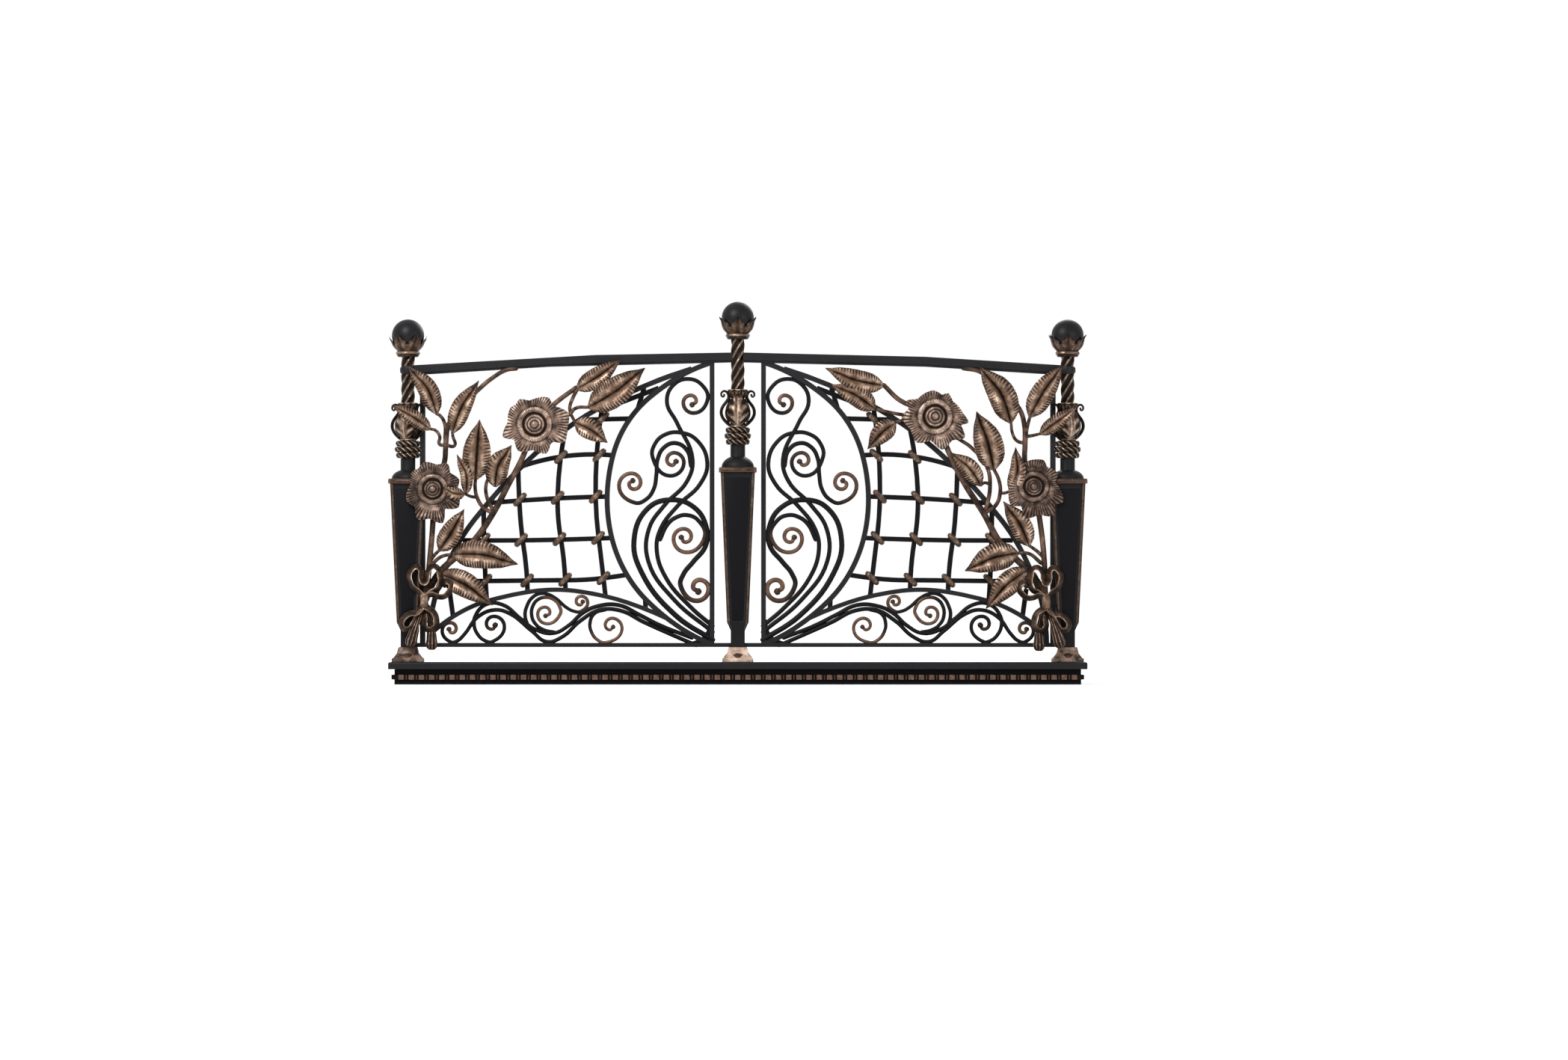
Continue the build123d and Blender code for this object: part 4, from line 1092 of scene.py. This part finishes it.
# %% Shapes of a vase
bulb = ((0, 0), (24, 0), (29.5, 2), (27, 8), (24, 14), (30, 26), (36, 42), (37, 55), (33, 70), (26, 84),
        (22, 96), (24, 108), (30, 120), (31, 126), (27, 127), (0, 120))
bulb_rub = [0.1, 0.2, 0.7, 0.3, 0.1, 0.2, 0.4, 0.4, 0.3, 0.2, 0.1, 0.2, 0.5, 0.8, 0.3, 0.1]
strap_turns = {"left": -16, "centre": 8, "right": 18}
vase_leaf_turns = {"left": -20, "centre": 0, "right": 17}
strap_points = ((23, 4), (40, 18), (53, 36), (56, 51), (51, 68), (38, 86), (31, 99), (33, 112), (41, 120),
                (51, 119), (56, 111), (53, 103), (47, 103), (46, 108))
strap_radial = ((0, 5.6), (0.5, 5.2), (0.7, 3.6), (0.97, 3), (1, 4))
strap_across = ((0, 6), (0.3, 8), (0.6, 7), (0.75, 4.5), (1, 4))
vase_leaf_points = ((27, 6), (33, 24), (40, 44), (37, 66), (29, 88), (27, 104), (36, 122))
crown_points = ((23, 100), (27, 112), (31, 122), (36, 126))
crown_leaves = 8


def turned(turn, points):
    """A turn about Z in degrees, and the (out, up) points in millimetres turned by it."""
    way = Matrix.Rotation(radians(turn), 3, "Z")
    return way, [way @ Vector((out, 0, up)) * MM for out, up in points]


def on_axis(post, node):
    """Sets a piece made about the origin on the post's axis, at the foot of a solid."""
    return Matrix.Translation((post_axis[post], 0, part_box(node)[0].z))


print("a vase is", bulb[-2][1], "mm high")

# %% Vases with leaves, crown and curled straps
for post in POSTS:
    node = f"{post}_post_vase"
    stack = [spun(bulb, rub=bulb_rub)]
    for half_turn in range(2):
        strap_way, points = turned(strap_turns[post] + 180 * half_turn, strap_points)
        stack.append(forged_bar(smooth_line(points, 4), lambda share: read_off(strap_radial, share) * MM,
                                lambda share: read_off(strap_across, share) * MM,
                                facing=strap_way @ Vector((0, 1, 0)), sides=8, rub=-0.1))
    # shade lifts the front and back leaves a little and darkens the two side leaves: painted shade on the
    # sides
    for quarter in range(4):
        leaf_way, points = turned(-90 + 90 * quarter + vase_leaf_turns[post], vase_leaf_points)
        stack.append(leaf(smooth_line(points, 6), leaf_way @ Vector((1, 0, 0.001)), 36 * MM, fold=0.05,
                          pillow=0.12, cuts=4, cut_depth=1.5 * MM, cut_from=0.3, wrap=12, midrib=0.4,
                          shade=0.08 if quarter % 2 == 0 else -0.25))
    for point in range(crown_leaves):
        crown_way, points = turned(360 * (point + 0.5) / crown_leaves, crown_points)
        stack.append(leaf(smooth_line(points, 4), crown_way @ Vector((1, 0, 0.001)), 13 * MM, cuts=2,
                          wrap=14, shade=-0.1))
    show(moved(gathered(stack), on_axis(post, node)), f"{post}_leaf_vase", "casting_bronze",
         casting_bronze, node)

# %% [markdown]
# Six leaves rise from a turned collar and hold the ball. They could be sheets shrunk onto it. Here their
# spines follow a circle a few millimetres wider than the ball, so that the helper's leaves hug it
# without cutting in, and only the tips bend away.

# %% Cups of six leaves under the balls
cup_radius = 56.5
ball_rise = 71.5
tip_reach = 61.5
tip_rise = 74
cup_leaves = 6
collar = ((0, 0), (33, 0), (36, 3), (37, 7), (40, 9), (40.5, 14), (38, 18), (34, 21), (28, 24), (30, 27),
          (0, 30))
collar_rub = [0.1, 0.2, 0.3, 0.1, 0.5, 0.6, 0.45, 0.1, 0.0, 0.1, 0.1]
round_ball = [(cup_radius * cos(radians(angle)), ball_rise + cup_radius * sin(radians(angle)))
              for angle in (-62, -48, -34, -20)]
cup_turns = {"left": 0, "centre": 30, "right": 30}
for post in POSTS:
    node = f"{post}_post_cup"
    stack = [spun(collar, rub=collar_rub)]
    tip = (tip_reach / cos(radians(cup_turns[post])), tip_rise)
    for number in range(cup_leaves):
        way, points = turned(cup_turns[post] + 360 / cup_leaves * number,
                             [(22, 25), *round_ball, (60, 63), tip])
        stack.append(leaf(smooth_line(points, 5), way @ Vector((1, 0, -0.2)), 27 * MM, fold=0.05,
                          pillow=0.16, cuts=5, cut_depth=0.5 * MM, cut_from=0.8, wrap=9,
                          midrib=0.1, shade=-0.08))
    show(moved(gathered(stack), on_axis(post, node)), f"{post}_leaf_cup", "casting_bronze",
         casting_bronze, node)

# %% [markdown]
# ## Shafts
# The shaft is a tapered square tube under a flange. Copper beads run up its corners and round the flange,
# and a black panel with soft edges stands between them. The beads are swept bars. A panel could be inset
# in the shaft's own face. It is a bevelled cube, moved to the slope, so that the solid's shape stays.

# %% Sizes of a shaft
bead_half = 6.5 * MM
bead_inset = 5.2 * MM
bead_steps = 6
flange_edge = 60 * MM
flange_bead_half = 7 * MM
flange_bead_x = 56.2 * MM
flange_bead_y = 59 * MM
flange_height = 16 * MM
neck_height = 36 * MM
bell_heights = {"left": 33 * MM, "centre": 40 * MM, "right": 33 * MM}
ankle_rise = 64 * MM
heel_rise = 84 * MM
ankle_half = 26 * MM
heel_half = 35 * MM
top_half = 56 * MM
panel_margin = 17 * MM
panel_rise = 4 * MM
panel_drop = 18 * MM
# How far the panel's front and back lie under the plane of the shaft's corners
panel_front = 1.4 * MM
panel_back = 4 * MM
four_corners = ((-1, -1), (1, -1), (1, 1), (-1, 1))


def half_at(share):
    """Half the shaft's width, at a share of the way from its heel to its top."""
    return heel_half + (top_half - heel_half) * share


print("a shaft is", 2 * half_at(0.5) / MM, "mm wide halfway up")

# %% Beads and panels of a shaft


def corner_bead(x, sx, sy, foot_top, shaft_top):
    """A bead up one corner of the shaft."""
    heel = foot_top + heel_rise
    stations = [(ankle_half, foot_top + ankle_rise)]
    for step in range(bead_steps + 1):
        share = step / bead_steps
        stations.append((half_at(share), heel + (shaft_top - 2 * MM - heel) * share))
    line = [Vector((x + sx * (half - bead_inset), sy * (half - bead_inset), z)) for half, z in stations]
    return forged_bar(line, bead_half, facing=Vector((sx, sy, 0)), sides=12, rub=0.42)


def flange_bead(x, shaft_top):
    """A bead round the flange."""
    middle = shaft_top + flange_height / 2
    flange = [Vector((x + sx * flange_bead_x, sy * flange_bead_y, middle)) for sx, sy in four_corners]
    line = []
    for corner, following in zip(flange, flange[1:] + flange[:1]):
        line += [corner.lerp(following, share) for share in (0.04, 0.5, 0.96)]
    return forged_bar(line, flange_bead_half, facing=UP, sides=10, closed=True, rub=0.4)


def side_panel(x, quarter, foot_top, shaft_top):
    """The raised panel of one side: a cube whose outer face follows the shaft's slope."""
    bm = bmesh.new()
    bmesh.ops.create_cube(bm, size=1)
    panel_low, panel_high = foot_top + heel_rise + panel_rise, shaft_top - panel_drop
    for corner in bm.verts:
        share = corner.co.z + 0.5
        half = half_at(share)
        z = panel_low + (panel_high - panel_low) * share
        depth = half - (panel_front if corner.co.y < 0 else panel_back)
        corner.co = Vector((corner.co.x * 2 * (half - panel_margin), -depth, z))
    bmesh.ops.bevel(bm, geom=bm.edges[:], offset=0.001, segments=2, affect="EDGES", profile=0.5,
                    material=-1)
    return moved(bm, Matrix.Translation((x, 0, 0)) @ Matrix.Rotation(radians(90 * quarter), 4, "Z"))


sample = side_panel(0, 0, 0, 1)
print("a panel has", len(sample.faces), "faces")
sample.free()

# %% Shafts with their beads and panels
for post in POSTS:
    node = f"{post}_post_shaft"
    shaft = eased([node], f"{post}_shaft_eased", "shaft_paint", shaft_paint, 0.001)
    x = post_axis[post]
    foot_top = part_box(f"{post}_post_foot")[1].z
    shaft_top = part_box(f"{post}_post_rope")[0].z - neck_height - bell_heights[post] - flange_height
    for corner, rubbing in zip(shaft.data.vertices, shaft.data.attributes["rub"].data):
        on_edge = max(abs(corner.co.x - x), abs(corner.co.y)) > flange_edge
        if on_edge and shaft_top - MM < corner.co.z < shaft_top + flange_height + MM:
            rubbing.value = 0.5
    trims = [corner_bead(x, sx, sy, foot_top, shaft_top) for sx, sy in four_corners]
    trims.append(flange_bead(x, shaft_top))
    show(gathered(trims), f"{post}_shaft_beads", "casting_bronze", casting_bronze)
    panels = [side_panel(x, quarter, foot_top, shaft_top) for quarter in range(4)]
    show(gathered(panels), f"{post}_shaft_panels", "shaft_paint", net_paint)

# %% [markdown]
# ## Feet
# The foot is a flared square casting in pale copper with a palmette on each face. The palmettes could
# be cut into the casting, but five small leaves laid on its slope leave the solid's shape as it is.

# %% Feet with palmettes
foot_rub = {"left": -0.24, "centre": 0.12, "right": -0.18}
# Each lobe of a palmette: its tilt in degrees and how far it reaches
lobes = ((-56, 23), (-28, 23), (0, 27), (28, 23), (56, 23))
lobe_root = 15
lobe_squeeze = 0.9
# The slope that the lobes lie on: how far out it is at a height, and how it leans inwards above
slope_out, slope_height, slope_lean = 49.5, 13, 0.86
for post in POSTS:
    node = f"{post}_post_foot"
    eased([node], f"{post}_foot_eased", "foot_bronze", foot_bronze, 0.003, foot_rub[post])
    foot = foot_of(node)
    fan = []
    for quarter in range(4):
        way = Matrix.Rotation(radians(90 * quarter), 3, "Z")
        for tilt, reach in lobes:
            points = []
            for share in (0, 0.4, 0.75, 1):
                across = reach * share * sin(radians(tilt)) * lobe_squeeze
                up = lobe_root + reach * share * cos(radians(tilt))
                out = (up - slope_height) * slope_lean - slope_out
                points.append(foot + way @ Vector((across, out, up)) * MM)
            fan.append(leaf(smooth_line(points, 4), way @ Vector((0, -1, 0.6)), 5 * MM, fold=-0.3,
                            cuts=1, cut_depth=0, thickness=2.5 * MM, midrib=-0.5, shade=-0.12))
    show(gathered(fan), f"{post}_foot_palmettes", "foot_bronze", casting_bronze)

# %% [markdown]
# ## Dentil band
# The band round the beam shows blocks with a thin upright bar in each gap. The blocks are in the
# solid; the thin bars are small cubes, kept plain because there are so many of them.

# %% Dentil finish and the thin bars between the blocks
band_low, band_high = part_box("dentil_band")
dentil_pitch = 34 * MM
block_count = int((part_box("base_beam")[1].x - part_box("base_beam")[0].x) / dentil_pitch)
thin_bar_inset = 3.5 * MM
thin_bar_size = (4 * MM, 5 * MM, (band_high.z - band_low.z) * 0.94)
thin_bars, bar_rub_and_shade = new_piece()
for number in range(block_count - 1):
    x = (number - (block_count - 2) / 2) * dentil_pitch
    for y in (band_low.y + thin_bar_inset, band_high.y - thin_bar_inset):
        made = bmesh.ops.create_cube(thin_bars, size=1)["verts"]
        where = Matrix.Translation((x, y, (band_low.z + band_high.z) / 2))
        bmesh.ops.transform(thin_bars, matrix=where @ Matrix.Diagonal((*thin_bar_size, 1)), verts=made)
        # Outer ends get more rub and inner ends less: the paste misses the back of the gap, and the dark
        # inner ends are also painted shade
        for corner in made:
            corner[bar_rub_and_shade] = 0.1 if abs(corner.co.y) > band_high.y - 2 * MM else -0.3
show(thin_bars, "dentil_thin_bars", "dentil_bronze", dentil_bronze)
blocks = bmesh.new()
blocks.from_mesh(nodes["dentil_band"].data)
bmesh.ops.remove_doubles(blocks, verts=blocks.verts, dist=weld)
block_rub_and_shade = blocks.verts.layers.float.new("rub")
# Outer faces are rubbed and all that is set back is dark: bronze missing the recesses, and painted shade
# in the gaps between the blocks
for corner in blocks.verts:
    face_on = max(abs(corner.co.y) - band_high.y, abs(corner.co.x) - band_high.x)
    corner[block_rub_and_shade] = 0.3 if face_on > -0.5 * MM else -0.6
show(blocks, "dentil_blocks", "dentil_bronze", dentil_bronze, "dentil_band", sharp=30)
